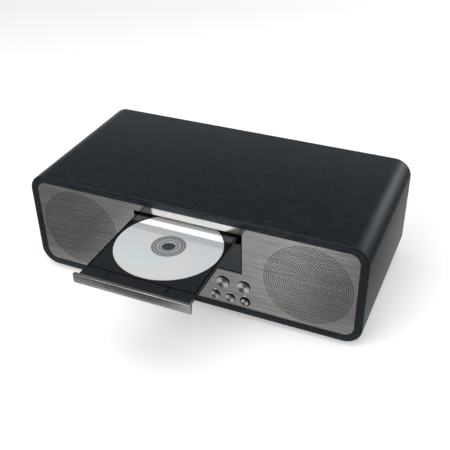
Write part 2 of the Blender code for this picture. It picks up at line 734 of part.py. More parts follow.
def make_rear(cabinet):
    """The rear panel with the mains inlet, the aerial socket and the audio input."""
    panel = framed_block("rear_panel", PANEL_EDGE, REAR_BACK, REAR_FACE, "black_plastic", cabinet)
    beyond = 2 * MM

    def slab(name, x, half_width, half_height, front, back, look="black_plastic", radius=0.0):
        low = (x - half_width, front, SOCKET_HEIGHT - half_height)
        high = (x + half_width, back, SOCKET_HEIGHT + half_height)
        return block(name, low, high, look, cabinet, axis="Y", radius=radius)

    inlet_x = -HALF_WIDTH + INLET_FROM_SIDE
    mouth_edge = 2.5 * MM
    inlet = slab(
        "mains_inlet",
        inlet_x,
        INLET_HALF_WIDTH,
        INLET_HALF_HEIGHT,
        REAR_FACE - INLET_DEPTH,
        REAR_FACE + 0.5 * MM,
    )
    flange = slab(
        "join_inlet_flange",
        inlet_x,
        INLET_HALF_WIDTH + 3 * MM,
        INLET_HALF_HEIGHT + 3 * MM,
        REAR_FACE + TOUCH,
        REAR_FACE + 1.8 * MM,
        radius=2 * MM,
    )
    mouth = slab(
        "cut_inlet_mouth",
        inlet_x,
        INLET_HALF_WIDTH - mouth_edge,
        INLET_HALF_HEIGHT - mouth_edge,
        REAR_FACE - INLET_DEPTH + 4 * MM,
        REAR_FACE + 5 * MM,
        radius=3 * MM,
    )
    join(inlet, flange)
    cut(inlet, mouth)
    for number, offset in enumerate((-4.3 * MM, 4.3 * MM)):
        start = (inlet_x + offset, REAR_FACE - INLET_DEPTH + 2 * MM, SOCKET_HEIGHT)
        join(inlet, rod(f"join_pin_{number}", start, 1.2 * MM, 12 * MM, "steel", cabinet, "Y", 12))
    cut(
        panel,
        slab(
            "cut_inlet_hole",
            inlet_x,
            INLET_HALF_WIDTH + TOUCH,
            INLET_HALF_HEIGHT + TOUCH,
            REAR_BACK - beyond,
            REAR_FACE + beyond,
        ),
    )
    for name, x, radius, bore in (
        ("aerial_socket", HALF_WIDTH - AERIAL_FROM_SIDE, AERIAL_RADIUS, 4 * MM),
        ("audio_input_socket", HALF_WIDTH - AUDIO_FROM_SIDE, AUDIO_RADIUS, 1.8 * MM),
    ):
        front, depth = 2.2 * MM, 12 * MM
        profile = [
            (radius, front),
            (radius, TOUCH),
            (radius - 1 * MM, TOUCH),
            (radius - 1 * MM, -depth),
            (bore, -depth),
            (bore, front),
        ]
        socket = turned(name, profile, (x, REAR_FACE, SOCKET_HEIGHT), "steel", cabinet, ring=True, steps=20)
        socket.rotation_euler.x = math.radians(-90)
        start = (x, REAR_BACK - beyond, SOCKET_HEIGHT)
        hole_radius = radius - 1 * MM + TOUCH
        through = REAR_THICKNESS + 2 * beyond
        cut(panel, rod(f"cut_{name}", start, hole_radius, through, "steel", cabinet, "Y", 20))


def make_electronics(cabinet):
    """The main board on the floor, the mains transformer and the amplifier's heat sink."""
    floor = WALL + 3 * MM
    board_top = floor + BOARD_THICKNESS
    block(
        "main_board",
        (-MAIN_BOARD_HALF_WIDTH, MAIN_BOARD_FRONT, floor),
        (MAIN_BOARD_HALF_WIDTH, REAR_BACK - BOARD_TO_REAR, board_top),
        "circuit_board",
        cabinet,
    )
    high_x, high_y = -CHASSIS_HALF - 4 * MM, REAR_BACK - 22 * MM
    block(
        "mains_transformer",
        (high_x - TRANSFORMER_WIDTH, high_y - TRANSFORMER_DEPTH, floor),
        (high_x, high_y, floor + TRANSFORMER_HEIGHT),
        "steel",
        cabinet,
        axis="X",
        radius=2 * MM,
        segments=2,
    )
    base_height = 3 * MM
    low_x, high_x = -HEAT_SINK_HALF_WIDTH, HEAT_SINK_HALF_WIDTH
    low_y = 40 * MM
    high_y = low_y + HEAT_SINK_DEPTH
    sink = block(
        "amplifier_heat_sink",
        (low_x, low_y, board_top + TOUCH),
        (high_x, high_y, board_top + base_height),
        "aluminium",
        cabinet,
    )
    fins = 5
    fin_half = 1 * MM
    for number in range(fins):
        x = low_x + fin_half + (high_x - low_x - 2 * fin_half) * number / (fins - 1)
        fin = block(
            f"join_fin_{number}",
            (x - fin_half, low_y, board_top + base_height / 2),
            (x + fin_half, high_y, board_top + HEAT_SINK_HEIGHT),
            "aluminium",
            cabinet,
        )
        join(sink, fin)


def make_tray(tray):
    """The drawer: a plate with the disc's pocket, its face strip and the rack under it."""
    plate = block(
        "disc_tray",
        (-TRAY_HALF, TRAY_FRONT, TRAY_BOTTOM),
        (TRAY_HALF, TRAY_REAR, TRAY_TOP),
        "black_plastic",
        tray,
    )
    beyond = 3 * MM
    pocket = rod(
        "cut_disc_pocket",
        (0, DISC_Y, POCKET_FLOOR),
        DISC_RADIUS + DISC_POCKET_PLAY,
        beyond + TRAY_TOP - POCKET_FLOOR,
        "steel",
        tray,
        segments=72,
    )
    spindle_window = rod(
        "cut_spindle_window",
        (0, DISC_Y, TRAY_BOTTOM - beyond),
        SPINDLE_WINDOW_RADIUS,
        TRAY_EDGE + 2 * beyond,
        "steel",
        tray,
        segments=36,
    )
    laser_window = block(
        "cut_laser_window",
        (-LASER_WINDOW_HALF, DISC_Y, TRAY_BOTTOM - beyond),
        (LASER_WINDOW_HALF, DISC_Y + LASER_WINDOW_LENGTH, TRAY_TOP + beyond),
        "steel",
        tray,
    )
    cut(plate, pocket, spindle_window, laser_window)
    groove_y = STRIP_FRONT + GROOVE_BEHIND_STRIP
    groove_x = DISC_RADIUS + DISC_POCKET_PLAY + GROOVE_WIDTH / 2 + 0.3 * MM
    half = GROOVE_WIDTH / 2

    def groove(name, low, high):
        floor = TRAY_TOP - GROOVE_DEPTH
        return block(name, (*low, floor), (*high, TRAY_TOP + beyond), "steel", tray)

    cut(
        plate,
        groove("cut_cross_groove", (-groove_x - half, groove_y - half), (groove_x + half, groove_y + half)),
    )
    for side, sign in (("left", -1), ("right", 1)):
        x, notch_x = sign * groove_x, sign * NOTCH_SPREAD
        cut(
            plate,
            groove(f"cut_groove_{side}", (x - half, groove_y), (x + half, TRAY_REAR - 10 * MM)),
            groove(
                f"cut_notch_{side}",
                (notch_x - half, groove_y - NOTCH_LENGTH),
                (notch_x + half, groove_y),
            ),
        )
    block(
        "tray_strip",
        (-SLOT_HALF + STRIP_GAP, STRIP_FRONT, SLOT_BOTTOM + STRIP_GAP),
        (SLOT_HALF - STRIP_GAP, STRIP_FRONT + STRIP_THICKNESS, SLOT_TOP - STRIP_GAP),
        "brushed_panel",
        tray,
    )
    rack_low = TRAY_FRONT + 15 * MM - GEAR_Y
    rack_high = TRAY_REAR - 1 * MM - GEAR_Y
    flat_outline(
        "tray_rack",
        [rack_outline(rack_low, rack_high, facing=-1)],
        GEAR_THICKNESS - 0.5 * MM,
        (RACK_X, GEAR_Y, TRAY_BOTTOM - TOUCH - (GEAR_THICKNESS - 0.5 * MM) / 2),
        "white_gear",
        tray,
    )


def make_disc(disc):
    profile = [
        (DISC_RADIUS, DISC_THICKNESS),
        (DISC_RADIUS, 0),
        (DISC_HOLE_RADIUS, 0),
        (DISC_HOLE_RADIUS, DISC_THICKNESS),
    ]
    centre = (0, DISC_Y, DISC_BOTTOM)
    turned("compact_disc", profile, centre, "disc_silver", disc, ring=True, steps=64)


def make_chassis(cabinet):
    """The loader's frame: floor, side walls with the tray's ledges, gear posts and deck ears."""
    beyond = 5 * MM
    chassis = block(
        "loader_chassis",
        (-CHASSIS_HALF, CHASSIS_FRONT, CHASSIS_BOTTOM),
        (CHASSIS_HALF, CHASSIS_REAR, CHASSIS_TOP),
        "black_plastic",
        cabinet,
    )
    inner, wall = TRAY_HALF - LEDGE, 3 * MM
    upper = TRAY_HALF + 3 * MM
    opening = DECK_HALF_WIDTH + 3 * MM
    open_front, open_rear = DISC_Y_CLOSED - DISC_RADIUS * 0.6, HINGE_Y - EAR_HALF
    cut(
        chassis,
        block(
            "cut_chassis_lower",
            (-inner, CHASSIS_FRONT - beyond, CHASSIS_FLOOR_TOP),
            (inner, CHASSIS_REAR - wall, CHASSIS_TOP + beyond),
            "steel",
            cabinet,
        ),
        block(
            "cut_chassis_upper",
            (-upper, CHASSIS_FRONT - beyond, TRAY_BOTTOM - TOUCH),
            (upper, CHASSIS_REAR - wall, CHASSIS_TOP + beyond),
            "steel",
            cabinet,
        ),
        block(
            "cut_chassis_floor",
            (-opening, open_front, CHASSIS_BOTTOM - beyond),
            (opening, open_rear, CHASSIS_FLOOR_TOP + beyond),
            "steel",
            cabinet,
        ),
        rod(
            "cut_motor_hole",
            (MOTOR_X, GEAR_Y, CHASSIS_BOTTOM - beyond),
            3 * MM,
            CHASSIS_FLOOR + 2 * beyond,
            "steel",
            cabinet,
            segments=16,
        ),
    )
    sunk = CHASSIS_FLOOR_TOP - 1 * MM
    posts = (
        ("tray_gear", PINION_X, GEAR_TOP - GEAR_THICKNESS - TOUCH),
        ("pulley", PULLEY_X, PULLEY_TOP - PULLEY_WIDTH - TOUCH),
    )
    for name, x, shoulder in posts:
        base = (x, GEAR_Y, sunk)
        for piece, radius, tall in (
            ("shoulder", SHOULDER_RADIUS, shoulder - sunk),
            ("post", POST_RADIUS, GEAR_TOP - sunk),
        ):
            join(
                chassis,
                rod(f"join_{piece}_{name}", base, radius, tall, "steel", cabinet, segments=16),
            )
    for side, sign in (("left", -1), ("right", 1)):
        low_x, high_x = sorted((sign * (DECK_HALF_WIDTH + 3 * MM), sign * (DECK_HALF_WIDTH + 8 * MM)))
        ear = block(
            f"join_ear_{side}",
            (low_x, HINGE_Y - EAR_HALF, sunk),
            (high_x, HINGE_Y + EAR_HALF, HINGE_Z + EAR_HALF),
            "steel",
            cabinet,
        )
        join(chassis, ear)
    cut(
        chassis,
        rod(
            "cut_hinge_bore",
            (-DECK_HALF_WIDTH - 10 * MM, HINGE_Y, HINGE_Z),
            POST_RADIUS + BORE_PLAY,
            2 * (DECK_HALF_WIDTH + 10 * MM),
            "steel",
            cabinet,
            axis="X",
            segments=24,
        ),
    )


def make_loading_drive(cabinet):
    """The motor, its pulley and belt, the pulley gear and the gear that drives the rack."""
    middle = GEAR_TOP - GEAR_THICKNESS / 2
    bore = POST_RADIUS + BORE_PLAY
    tray_gear = Frame("tray_gear_axis", (PINION_X, GEAR_Y, middle), cabinet)
    flat_outline(
        "tray_gear",
        [gear_outline(TRAY_GEAR_TEETH), circle(bore)],
        GEAR_THICKNESS,
        (PINION_X, GEAR_Y, middle),
        "white_gear",
        tray_gear,
    )
    pulley_axis = Frame("pulley_gear_axis", (PULLEY_X, GEAR_Y, BELT_Z), cabinet)
    half = PULLEY_WIDTH / 2
    groove = 1 * MM  # half the groove's mouth, twice its half-width at the bottom
    hub_top = GEAR_TOP - GEAR_THICKNESS + 0.4 * MM - BELT_Z
    wheel = [
        (pitch_radius(PINION_TEETH) - 2 * MM, hub_top),
        (pitch_radius(PINION_TEETH) - 2 * MM, half),
        (PULLEY_RADIUS, half),
        (PULLEY_RADIUS, groove),
        (PULLEY_RADIUS - PULLEY_GROOVE, groove / 2),
        (PULLEY_RADIUS - PULLEY_GROOVE, -groove / 2),
        (PULLEY_RADIUS, -groove),
        (PULLEY_RADIUS, -half),
        (bore, -half),
        (bore, hub_top),
    ]
    centre = (PULLEY_X, GEAR_Y, BELT_Z)
    pulley = turned("pulley_gear", wheel, centre, "white_gear", pulley_axis, ring=True, steps=24)
    half_tooth_turn = math.pi / PINION_TEETH
    pinion = flat_outline(
        "join_pinion",
        [gear_outline(PINION_TEETH, half_tooth_turn), circle(bore)],
        GEAR_THICKNESS,
        (PULLEY_X, GEAR_Y, middle),
        "white_gear",
        pulley_axis,
    )
    join(pulley, as_mesh(pinion))
    motor_axis = Frame("motor_pulley_axis", (MOTOR_X, GEAR_Y, BELT_Z), cabinet)
    shaft = 1 * MM
    small = [
        (MOTOR_PULLEY_RADIUS, half),
        (MOTOR_PULLEY_RADIUS, groove),
        (MOTOR_PULLEY_RADIUS - PULLEY_GROOVE, groove / 2),
        (MOTOR_PULLEY_RADIUS - PULLEY_GROOVE, -groove / 2),
        (MOTOR_PULLEY_RADIUS, -groove),
        (MOTOR_PULLEY_RADIUS, -half),
        (shaft + BORE_PLAY, -half),
        (shaft + BORE_PLAY, half),
    ]
    centre = (MOTOR_X, GEAR_Y, BELT_Z)
    turned("motor_pulley", small, centre, "steel", motor_axis, ring=True, steps=16)
    can_radius, can_height = 10 * MM, 25 * MM
    can_top = CHASSIS_BOTTOM - TOUCH - BELT_Z
    motor = [
        (0, half - 0.5 * MM),
        (shaft, half - 0.5 * MM),
        (shaft, can_top),
        (can_radius, can_top),
        (can_radius, can_top - can_height),
        (0, can_top - can_height),
    ]
    turned("loading_motor", motor, centre, "steel", cabinet, steps=24)
    make_belt(cabinet)


def make_belt(cabinet):
    """A round belt in the two pulleys' grooves: an arc on each and the straight runs between."""
    seat = BELT_RADIUS + BELT_PLAY - PULLEY_GROOVE
    big, small = PULLEY_RADIUS + seat, MOTOR_PULLEY_RADIUS + seat
    reach = PULLEY_X - MOTOR_X
    wrap = math.pi - math.acos((big - small) / reach)
    arc_steps = 12
    points = []
    for i in range(arc_steps + 1):
        angle = -wrap + 2 * wrap * i / arc_steps
        points.append((PULLEY_X + big * math.cos(angle), big * math.sin(angle)))
    for i in range(arc_steps + 1):
        angle = wrap + 2 * (math.pi - wrap) * i / arc_steps
        points.append((MOTOR_X + small * math.cos(angle), small * math.sin(angle)))
    curve = bpy.data.curves.new("loading_belt", "CURVE")
    curve.dimensions = "3D"
    curve.bevel_depth = BELT_RADIUS
    curve.bevel_resolution = 1
    spline = curve.splines.new("POLY")
    spline.points.add(len(points) - 1)
    for point, (x, y) in zip(spline.points, points):
        point.co = (x, y, 0, 1)
    spline.use_cyclic_u = True
    place(bpy.data.objects.new("loading_belt", curve), (0, GEAR_Y, BELT_Z), "rubber", cabinet)


def make_deck(deck):
    """The traverse deck, modelled raised: plate, rod ribs and hinge pin."""
    front = DISC_Y_CLOSED - DISC_RADIUS / 2
    rib_front = DISC_Y_CLOSED - SPINDLE_RADIUS - 6 * MM
    rib_half, rib_thickness, rib_depth = 24 * MM, 2.5 * MM, 7 * MM
    plate = block(
        "traverse_deck",
        (-DECK_HALF_WIDTH, front, DECK_BOTTOM),
        (DECK_HALF_WIDTH, HINGE_Y, DECK_TOP),
        "black_plastic",
        deck,
    )
    rear_rib = SLED_Y + SLED_HALF_LENGTH + SLED_TRAVEL + 2 * MM
    for name, y in (("front", rib_front), ("rear", rear_rib)):
        low_y = y - rib_thickness if name == "front" else y
        rib = block(
            f"join_rib_{name}",
            (-rib_half, low_y, DECK_BOTTOM - rib_depth),
            (rib_half, low_y + rib_thickness, DECK_BOTTOM + DECK_THICKNESS / 2),
            "steel",
            deck,
        )
        join(plate, rib)
    pin = rod(
        "join_hinge_pin",
        (-DECK_HALF_WIDTH - 7 * MM, HINGE_Y, HINGE_Z),
        POST_RADIUS,
        2 * (DECK_HALF_WIDTH + 7 * MM),
        "steel",
        deck,
        axis="X",
        segments=20,
    )
    join(plate, pin)
    beyond = 4 * MM
    cut(
        plate,
        block(
            "cut_sled_window",
            (-14 * MM, SLED_Y - 8 * MM, DECK_BOTTOM - beyond),
            (14 * MM, SLED_Y + SLED_TRAVEL + 8 * MM, DECK_TOP + beyond),
            "steel",
            deck,
        ),
        rod(
            "cut_spindle_hole",
            (0, DISC_Y_CLOSED, DECK_BOTTOM - beyond),
            4 * MM + TOUCH,
            DECK_THICKNESS + 2 * beyond,
            "steel",
            deck,
            segments=24,
        ),
        rod(
            "cut_sled_shaft_hole",
            (SLED_GEAR_X, SLED_GEAR_Y, DECK_BOTTOM - beyond),
            2 * MM,
            DECK_THICKNESS + 2 * beyond,
            "steel",
            deck,
            segments=16,
        ),
    )
    for side, sign in (("left", -1), ("right", 1)):
        rod(
            f"guide_rod_{side}",
            (sign * ROD_X, rib_front + TOUCH, ROD_Z),
            ROD_RADIUS,
            rear_rib - rib_front - 2 * TOUCH,
            "steel",
            deck,
            axis="Y",
            segments=16,
        )


def make_spindle(deck):
    """The motor under the deck and the turntable that its shaft turns."""
    boss_radius = 4 * MM
    motor = [
        (0, DECK_TOP + 0.2 * MM - HINGE_Z),
        (boss_radius, DECK_TOP + 0.2 * MM - HINGE_Z),
        (boss_radius, DECK_BOTTOM - TOUCH - HINGE_Z),
        (SPINDLE_RADIUS, DECK_BOTTOM - TOUCH - HINGE_Z),
        (SPINDLE_RADIUS, DECK_BOTTOM - 12 * MM - HINGE_Z),
        (0, DECK_BOTTOM - 12 * MM - HINGE_Z),
    ]
    centre = (0, DISC_Y_CLOSED, HINGE_Z)
    turned("spindle_motor", motor, centre, "steel", deck, steps=24)
    spin = Frame("turntable_spin", centre, deck)
    top = POCKET_FLOOR - HINGE_Z
    hub = DISC_HOLE_RADIUS - BORE_PLAY
    hub_top = DISC_BOTTOM + DISC_THICKNESS + 0.2 * MM - HINGE_Z
    platter = DISC_RADIUS * 0.24
    bottom = DECK_TOP + 0.6 * MM - HINGE_Z
    table = [
        (0, hub_top),
        (hub - 1.5 * MM, hub_top),
        (hub, top + 0.6 * MM),
        (hub, top),
        (platter, top),
        (platter, top - 2 * MM),
        (boss_radius, top - 2 * MM),
        (boss_radius, bottom),
        (0, bottom),
    ]
    turned("turntable", table, centre, "black_plastic", spin, steps=32)


def make_clamp(cabinet):
    """The bridge over the closed disc and the puck that turns in it."""
    bridge_bottom = CHASSIS_TOP + TOUCH
    bridge_top = bridge_bottom + 1.5 * MM
    half = 14 * MM
    bridge = block(
        "clamp_bridge",
        (-CHASSIS_HALF, DISC_Y_CLOSED - half, bridge_bottom),
        (CHASSIS_HALF, DISC_Y_CLOSED + half, bridge_top),
        "steel",
        cabinet,
    )
    neck = 7 * MM
    cut(
        bridge,
        rod(
            "cut_clamp_hole",
            (0, DISC_Y_CLOSED, bridge_bottom - 3 * MM),
            neck + 1 * MM,
            8 * MM,
            "steel",
            cabinet,
            segments=32,
        ),
    )
    centre = Vector((0, DISC_Y_CLOSED, bridge_bottom))
    spin = Frame("clamper_spin", centre, cabinet)
    upper = bridge_top - bridge_bottom + TOUCH
    low = TRAY_TOP + 0.5 * MM - bridge_bottom
    puck = [
        (0, upper + 1.9 * MM),
        (11 * MM, upper + 1.9 * MM),
        (11 * MM, upper),
        (neck, upper),
        (neck, -TOUCH),
        (13 * MM, -TOUCH),
        (13 * MM, low),
        (0, low),
    ]
    turned("clamper_puck", puck, centre, "black_plastic", spin, steps=24)


def make_sled(deck):
    """The laser sled on its rods, with the rack that the sled gear drives."""
    slide = Frame("sled_slide", (0, SLED_Y, ROD_Z), deck)
    low, high = ROD_Z - 3.2 * MM, DECK_BOTTOM - 0.6 * MM
    sled = block(
        "laser_sled",
        (-SLED_HALF_WIDTH, SLED_Y - SLED_HALF_LENGTH, low),
        (SLED_HALF_WIDTH, SLED_Y + SLED_HALF_LENGTH, high),
        "black_plastic",
        slide,
    )
    lens_top = DECK_TOP + 8 * MM
    turret = [
        (0, lens_top + 0.8 * MM - high),
        (1.5 * MM, lens_top + 0.6 * MM - high),
        (3 * MM, lens_top - high),
        (5 * MM, lens_top - high),
        (5 * MM, -1 * MM),
        (0, -1 * MM),
    ]
    join(sled, turned("join_lens_turret", turret, (0, SLED_Y, high), "black_plastic", slide, steps=24))
    for side, sign in (("left", -1), ("right", 1)):
        start = (sign * ROD_X, SLED_Y - SLED_HALF_LENGTH - 2 * MM, ROD_Z)
        length = 2 * SLED_HALF_LENGTH + 4 * MM
        radius = ROD_RADIUS + BORE_PLAY
        cut(sled, rod(f"cut_rod_{side}", start, radius, length, "steel", slide, "Y", 16))
    reach = 6 * MM
    thickness = 3.5 * MM
    flat_outline(
        "sled_rack",
        [rack_outline(-SLED_TRAVEL - reach, reach, facing=1)],
        thickness,
        (SLED_RACK_X, SLED_GEAR_Y, ROD_Z),
        "white_gear",
        slide,
    )
    turn = Frame("sled_gear_axis", (SLED_GEAR_X, SLED_GEAR_Y, ROD_Z), deck)
    shaft = 1 * MM
    flat_outline(
        "sled_gear",
        [gear_outline(SLED_GEAR_TEETH), circle(shaft + BORE_PLAY, 16)],
        thickness,
        (SLED_GEAR_X, SLED_GEAR_Y, ROD_Z),
        "white_gear",
        turn,
    )
    can_radius, can_height = 7 * MM, 7 * MM
    bottom = DECK_TOP + TOUCH
    motor = [
        (0, can_height),
        (can_radius, can_height),
        (can_radius, 0),
        (shaft, 0),
        (shaft, ROD_Z - thickness / 2 - bottom),
        (0, ROD_Z - thickness / 2 - bottom),
    ]
    turned("sled_motor", motor, (SLED_GEAR_X, SLED_GEAR_Y, bottom), "steel", deck, steps=24)


def main():
    cabinet = Frame("cabinet", (0, 0, 0))
    make_cabinet(cabinet)
    make_front(cabinet)
    make_display(cabinet)
    make_keys(cabinet)
    for side, x in (("left", -GRILLE_X), ("right", GRILLE_X)):
        make_speaker(cabinet, side, x)
    make_rear(cabinet)
    make_electronics(cabinet)
    make_chassis(cabinet)
    make_loading_drive(cabinet)
    make_clamp(cabinet)
    tray = Frame("tray_slide", (0, STRIP_FRONT, TRAY_BOTTOM), cabinet)
    make_tray(tray)
    make_disc(Frame("disc_spin", (0, DISC_Y, DISC_BOTTOM), tray))
    deck = Frame("deck_lift", (0, HINGE_Y, HINGE_Z), cabinet, tilt=DECK_DROP_ANGLE)
    make_deck(deck)
    make_spindle(deck)
    make_sled(deck)


main()
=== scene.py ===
"""Looks of a mini hifi system.

A wrapped cabinet has a brushed front with two speakers, ten keys and a CD drawer. Lengths are in
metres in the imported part's own frame: x to the listener's right, y from front to back, z up from
the surface that the cabinet stands on. The drawer stands open at rest.
"""

import logging
import math
from dataclasses import dataclass, field
from enum import Enum
from typing import Any, Dict, Iterable, List, Optional, Sequence, Tuple, Union

import bmesh
import bpy
from mathutils import Matrix, Vector


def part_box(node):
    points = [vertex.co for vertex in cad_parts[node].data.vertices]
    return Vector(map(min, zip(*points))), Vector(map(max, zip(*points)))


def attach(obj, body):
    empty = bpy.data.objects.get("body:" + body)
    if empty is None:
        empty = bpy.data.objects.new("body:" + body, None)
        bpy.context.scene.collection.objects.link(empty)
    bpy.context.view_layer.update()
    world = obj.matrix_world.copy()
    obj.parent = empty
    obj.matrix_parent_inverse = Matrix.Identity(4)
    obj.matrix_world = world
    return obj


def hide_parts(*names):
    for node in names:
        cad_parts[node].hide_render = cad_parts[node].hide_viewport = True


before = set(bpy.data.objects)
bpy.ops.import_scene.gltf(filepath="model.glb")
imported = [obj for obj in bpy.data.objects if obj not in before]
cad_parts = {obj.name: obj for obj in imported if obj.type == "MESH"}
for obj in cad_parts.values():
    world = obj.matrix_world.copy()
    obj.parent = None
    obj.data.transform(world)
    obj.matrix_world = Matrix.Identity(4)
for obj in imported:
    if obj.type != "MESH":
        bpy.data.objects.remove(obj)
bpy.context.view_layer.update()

LOG = logging.getLogger("mini_hifi")
MM = 0.001
FULL_TURN = 2 * math.pi
QUARTER_TURN = math.pi / 2
TOUCH = 1e-6  # metres within which two points count as one
BMesh = bmesh.types.BMesh
Triple = Tuple[float, float, float]
Colour = Triple
Stops = Tuple[Tuple[float, Colour], ...]
Number = Union[float, "Value"]


# --------------------------------------------------------------------------- shader maths


@dataclass(frozen=True)
class Value:
    """An output socket that can be used in Python expressions."""

    graph: "Graph"
    socket: bpy.types.NodeSocket

    def _math(self, operation: str, left: Number, right: Number) -> "Value":
        """One Math node on two inputs."""
        return self.graph.value("ShaderNodeMath", {"operation": operation}, {0: left, 1: right})

    def __add__(self, other: Number) -> "Value":
        """Sum."""
        return self._math("ADD", self, other)

    def __radd__(self, other: Number) -> "Value":
        """Sum with a number on the left."""
        return self._math("ADD", other, self)

    def __sub__(self, other: Number) -> "Value":
        """Difference."""
        return self._math("SUBTRACT", self, other)

    def __rsub__(self, other: Number) -> "Value":
        """Difference from a number on the left."""
        return self._math("SUBTRACT", other, self)

    def __mul__(self, other: Number) -> "Value":
        """Product."""
        return self._math("MULTIPLY", self, other)

    def __rmul__(self, other: Number) -> "Value":
        """Product with a number on the left."""
        return self._math("MULTIPLY", other, self)

    def __truediv__(self, other: Number) -> "Value":
        """Quotient."""
        return self._math("DIVIDE", self, other)

    def __pow__(self, other: Number) -> "Value":
        """Power."""
        return self._math("POWER", self, other)

    def __abs__(self) -> "Value":
        """Distance from nought."""
        return self.graph.value("ShaderNodeMath", {"operation": "ABSOLUTE"}, {0: self})

    def sine(self) -> "Value":
        """Sine of an angle in radians."""
        return self.graph.value("ShaderNodeMath", {"operation": "SINE"}, {0: self})


class Graph:
    """One material's nodes. Every node but the first two is made by its node method."""

    def __init__(self, name: str) -> None:
        """Starts a material with a Principled shader.

        Args:
            name: The material's name.
        """
        self.material = bpy.data.materials.new(name)
        self.material.use_nodes = True
        self.tree = self.material.node_tree
        self.shader = self.tree.nodes["Principled BSDF"]

    def node(
        self,
        kind: str,
        settings: Optional[Dict[str, Any]] = None,
        inputs: Optional[Dict[Any, Any]] = None,
    ) -> bpy.types.Node:
        """Makes one node.

        Args:
            kind: The node's type.
            settings: Its properties, set first. "stops" holds a ramp's (place, colour) pairs.
            inputs: A value or link for each socket, by name or index.

        Returns:
            The node.
        """
        made = self.tree.nodes.new(kind)
        for name, setting in (settings or {}).items():
            if name == "stops":
                self.set_stops(made.color_ramp, setting)
            else:
                setattr(made, name, setting)
        for key, given in (inputs or {}).items():
            self.feed(made.inputs[key], given)
        return made

    def value(
        self,
        kind: str,
        settings: Optional[Dict[str, Any]] = None,
        inputs: Optional[Dict[Any, Any]] = None,
        output: Union[int, str] = 0,
    ) -> Value:
        """Makes one node and returns one of its outputs."""
        return Value(self, self.node(kind, settings, inputs).outputs[output])

    @staticmethod
    def set_stops(ramp: bpy.types.ColorRamp, stops: Stops) -> None:
        """Gives a ramp these stops and no others.

        Args:
            ramp: The ramp.
            stops: A place from 0 to 1 and a colour for each stop.
        """
        while len(ramp.elements) > 1:
            ramp.elements.remove(ramp.elements[-1])
        ramp.elements[0].position = stops[0][0]
        ramp.elements[0].color = (*stops[0][1], 1.0)
        for place, colour in stops[1:]:
            ramp.elements.new(place).color = (*colour, 1.0)

    def feed(self, socket: bpy.types.NodeSocket, given: Any) -> None:
        """Links a value to a socket, or sets a constant on it.

        Args:
            socket: The input.
            given: A value, a number, or three or four numbers.
        """
        if isinstance(given, Value):
            self.tree.links.new(given.socket, socket)
        elif socket.type == "RGBA" and len(given) == 3:
            socket.default_value = (*given, 1.0)
        else:
            socket.default_value = given

    def surface(self, **inputs: Any) -> None:
        """Feeds the Principled shader, with an underscore for each space in a socket's name."""
        for name, given in inputs.items():
            self.feed(self.shader.inputs[name.replace("_", " ")], given)

    def place(self, centre: Triple = (0, 0, 0), stretch: Triple = (1, 1, 1)) -> Value:
        """Object coordinates about a centre, stretched.

        Args:
            centre: The point that becomes the origin.
            stretch: Pattern units in a metre along each axis.

        Returns:
            The vector.
        """
        coordinates = self.value("ShaderNodeTexCoord", output="Object")
        moved = self.value(
            "ShaderNodeVectorMath", {"operation": "SUBTRACT"}, {0: coordinates, 1: tuple(centre)}
        )
        return self.value("ShaderNodeMapping", None, {"Vector": moved, "Scale": tuple(stretch)})

    def parts(self, vector: Value) -> Tuple[Value, Value, Value]:
        """The three parts of a vector."""
        node = self.node("ShaderNodeSeparateXYZ", None, {0: vector})
        return tuple(Value(self, output) for output in node.outputs)

    def noise(self, vector: Value, detail: float = 3.0, rough: float = 0.55) -> Value:
        """Fractal noise between 0 and 1, with a mean of a half.

        Args:
            vector: Where it is read.
            detail: How many finer layers it has.
            rough: The strength of each finer layer.

        Returns:
            The noise.
        """
        return self.value(
            "ShaderNodeTexNoise",
            None,
            {"Vector": vector, "Scale": 1.0, "Detail": detail, "Roughness": rough},
        )

    def cloud(self, stretch: float, detail: float = 2.0) -> Value:
        """Soft noise with the same stretch along each axis."""
        return self.noise(self.place(stretch=(stretch,) * 3), detail=detail)

    def ramp(
        self, value: Number, low: float, high: float, start: float = 0.0, end: float = 1.0
    ) -> Value:
        """Goes smoothly from one level to another.

        Args:
            value: What drives it.
            low: The value at which it leaves the first level.
            high: The value at which it comes to the last level.
            start: The first level.
            end: The last level.

        Returns:
            The level.
        """
        return self.value(
            "ShaderNodeMapRange",
            {"interpolation_type": "SMOOTHSTEP"},
            {"Value": value, "From Min": low, "From Max": high, "To Min": start, "To Max": end},
        )

    def mix(self, factor: Number, first: Any, second: Any) -> Value:
        """Goes from one colour to another."""
        return self.value(
            "ShaderNodeMix", {"data_type": "RGBA"}, {0: factor, 6: first, 7: second}, output=2
        )

    def scaled(self, vector: Any, factor: Number) -> Value:
        """A colour or vector times a factor."""
        return self.value("ShaderNodeVectorMath", {"operation": "SCALE"}, {0: vector, 3: factor})

    def angle(self, up: Value, across: Value) -> Value:
        """The angle whose tangent is the first over the second."""
        return self.value("ShaderNodeMath", {"operation": "ARCTAN2"}, {0: up, 1: across})

    def bump(self, height: Value, depth: float, strength: float = 1.0) -> Value:
        """A normal from a height between 0 and 1.

        Args:
            height: The height.
            depth: The depth in metres that a height of 1 stands for.
            strength: The share of the effect.

        Returns:
            The normal.
        """
        return self.value(
            "ShaderNodeBump", None, {"Height": height, "Distance": depth, "Strength": strength}
        )

    def tilt(self, direction: Value, amount: float) -> Value:
        """Leans the surface's normal.

        Args:
            direction: The way that it leans.
            amount: The share of the direction that is added.

        Returns:
            The normal.
        """
        normal = self.value("ShaderNodeNewGeometry", output="Normal")
        lean = self.scaled(direction, amount)
        leant = self.value("ShaderNodeVectorMath", {"operation": "ADD"}, {0: normal, 1: lean})
        return self.value("ShaderNodeVectorMath", {"operation": "NORMALIZE"}, {0: leant})


# --------------------------------------------------------------------------- finishes


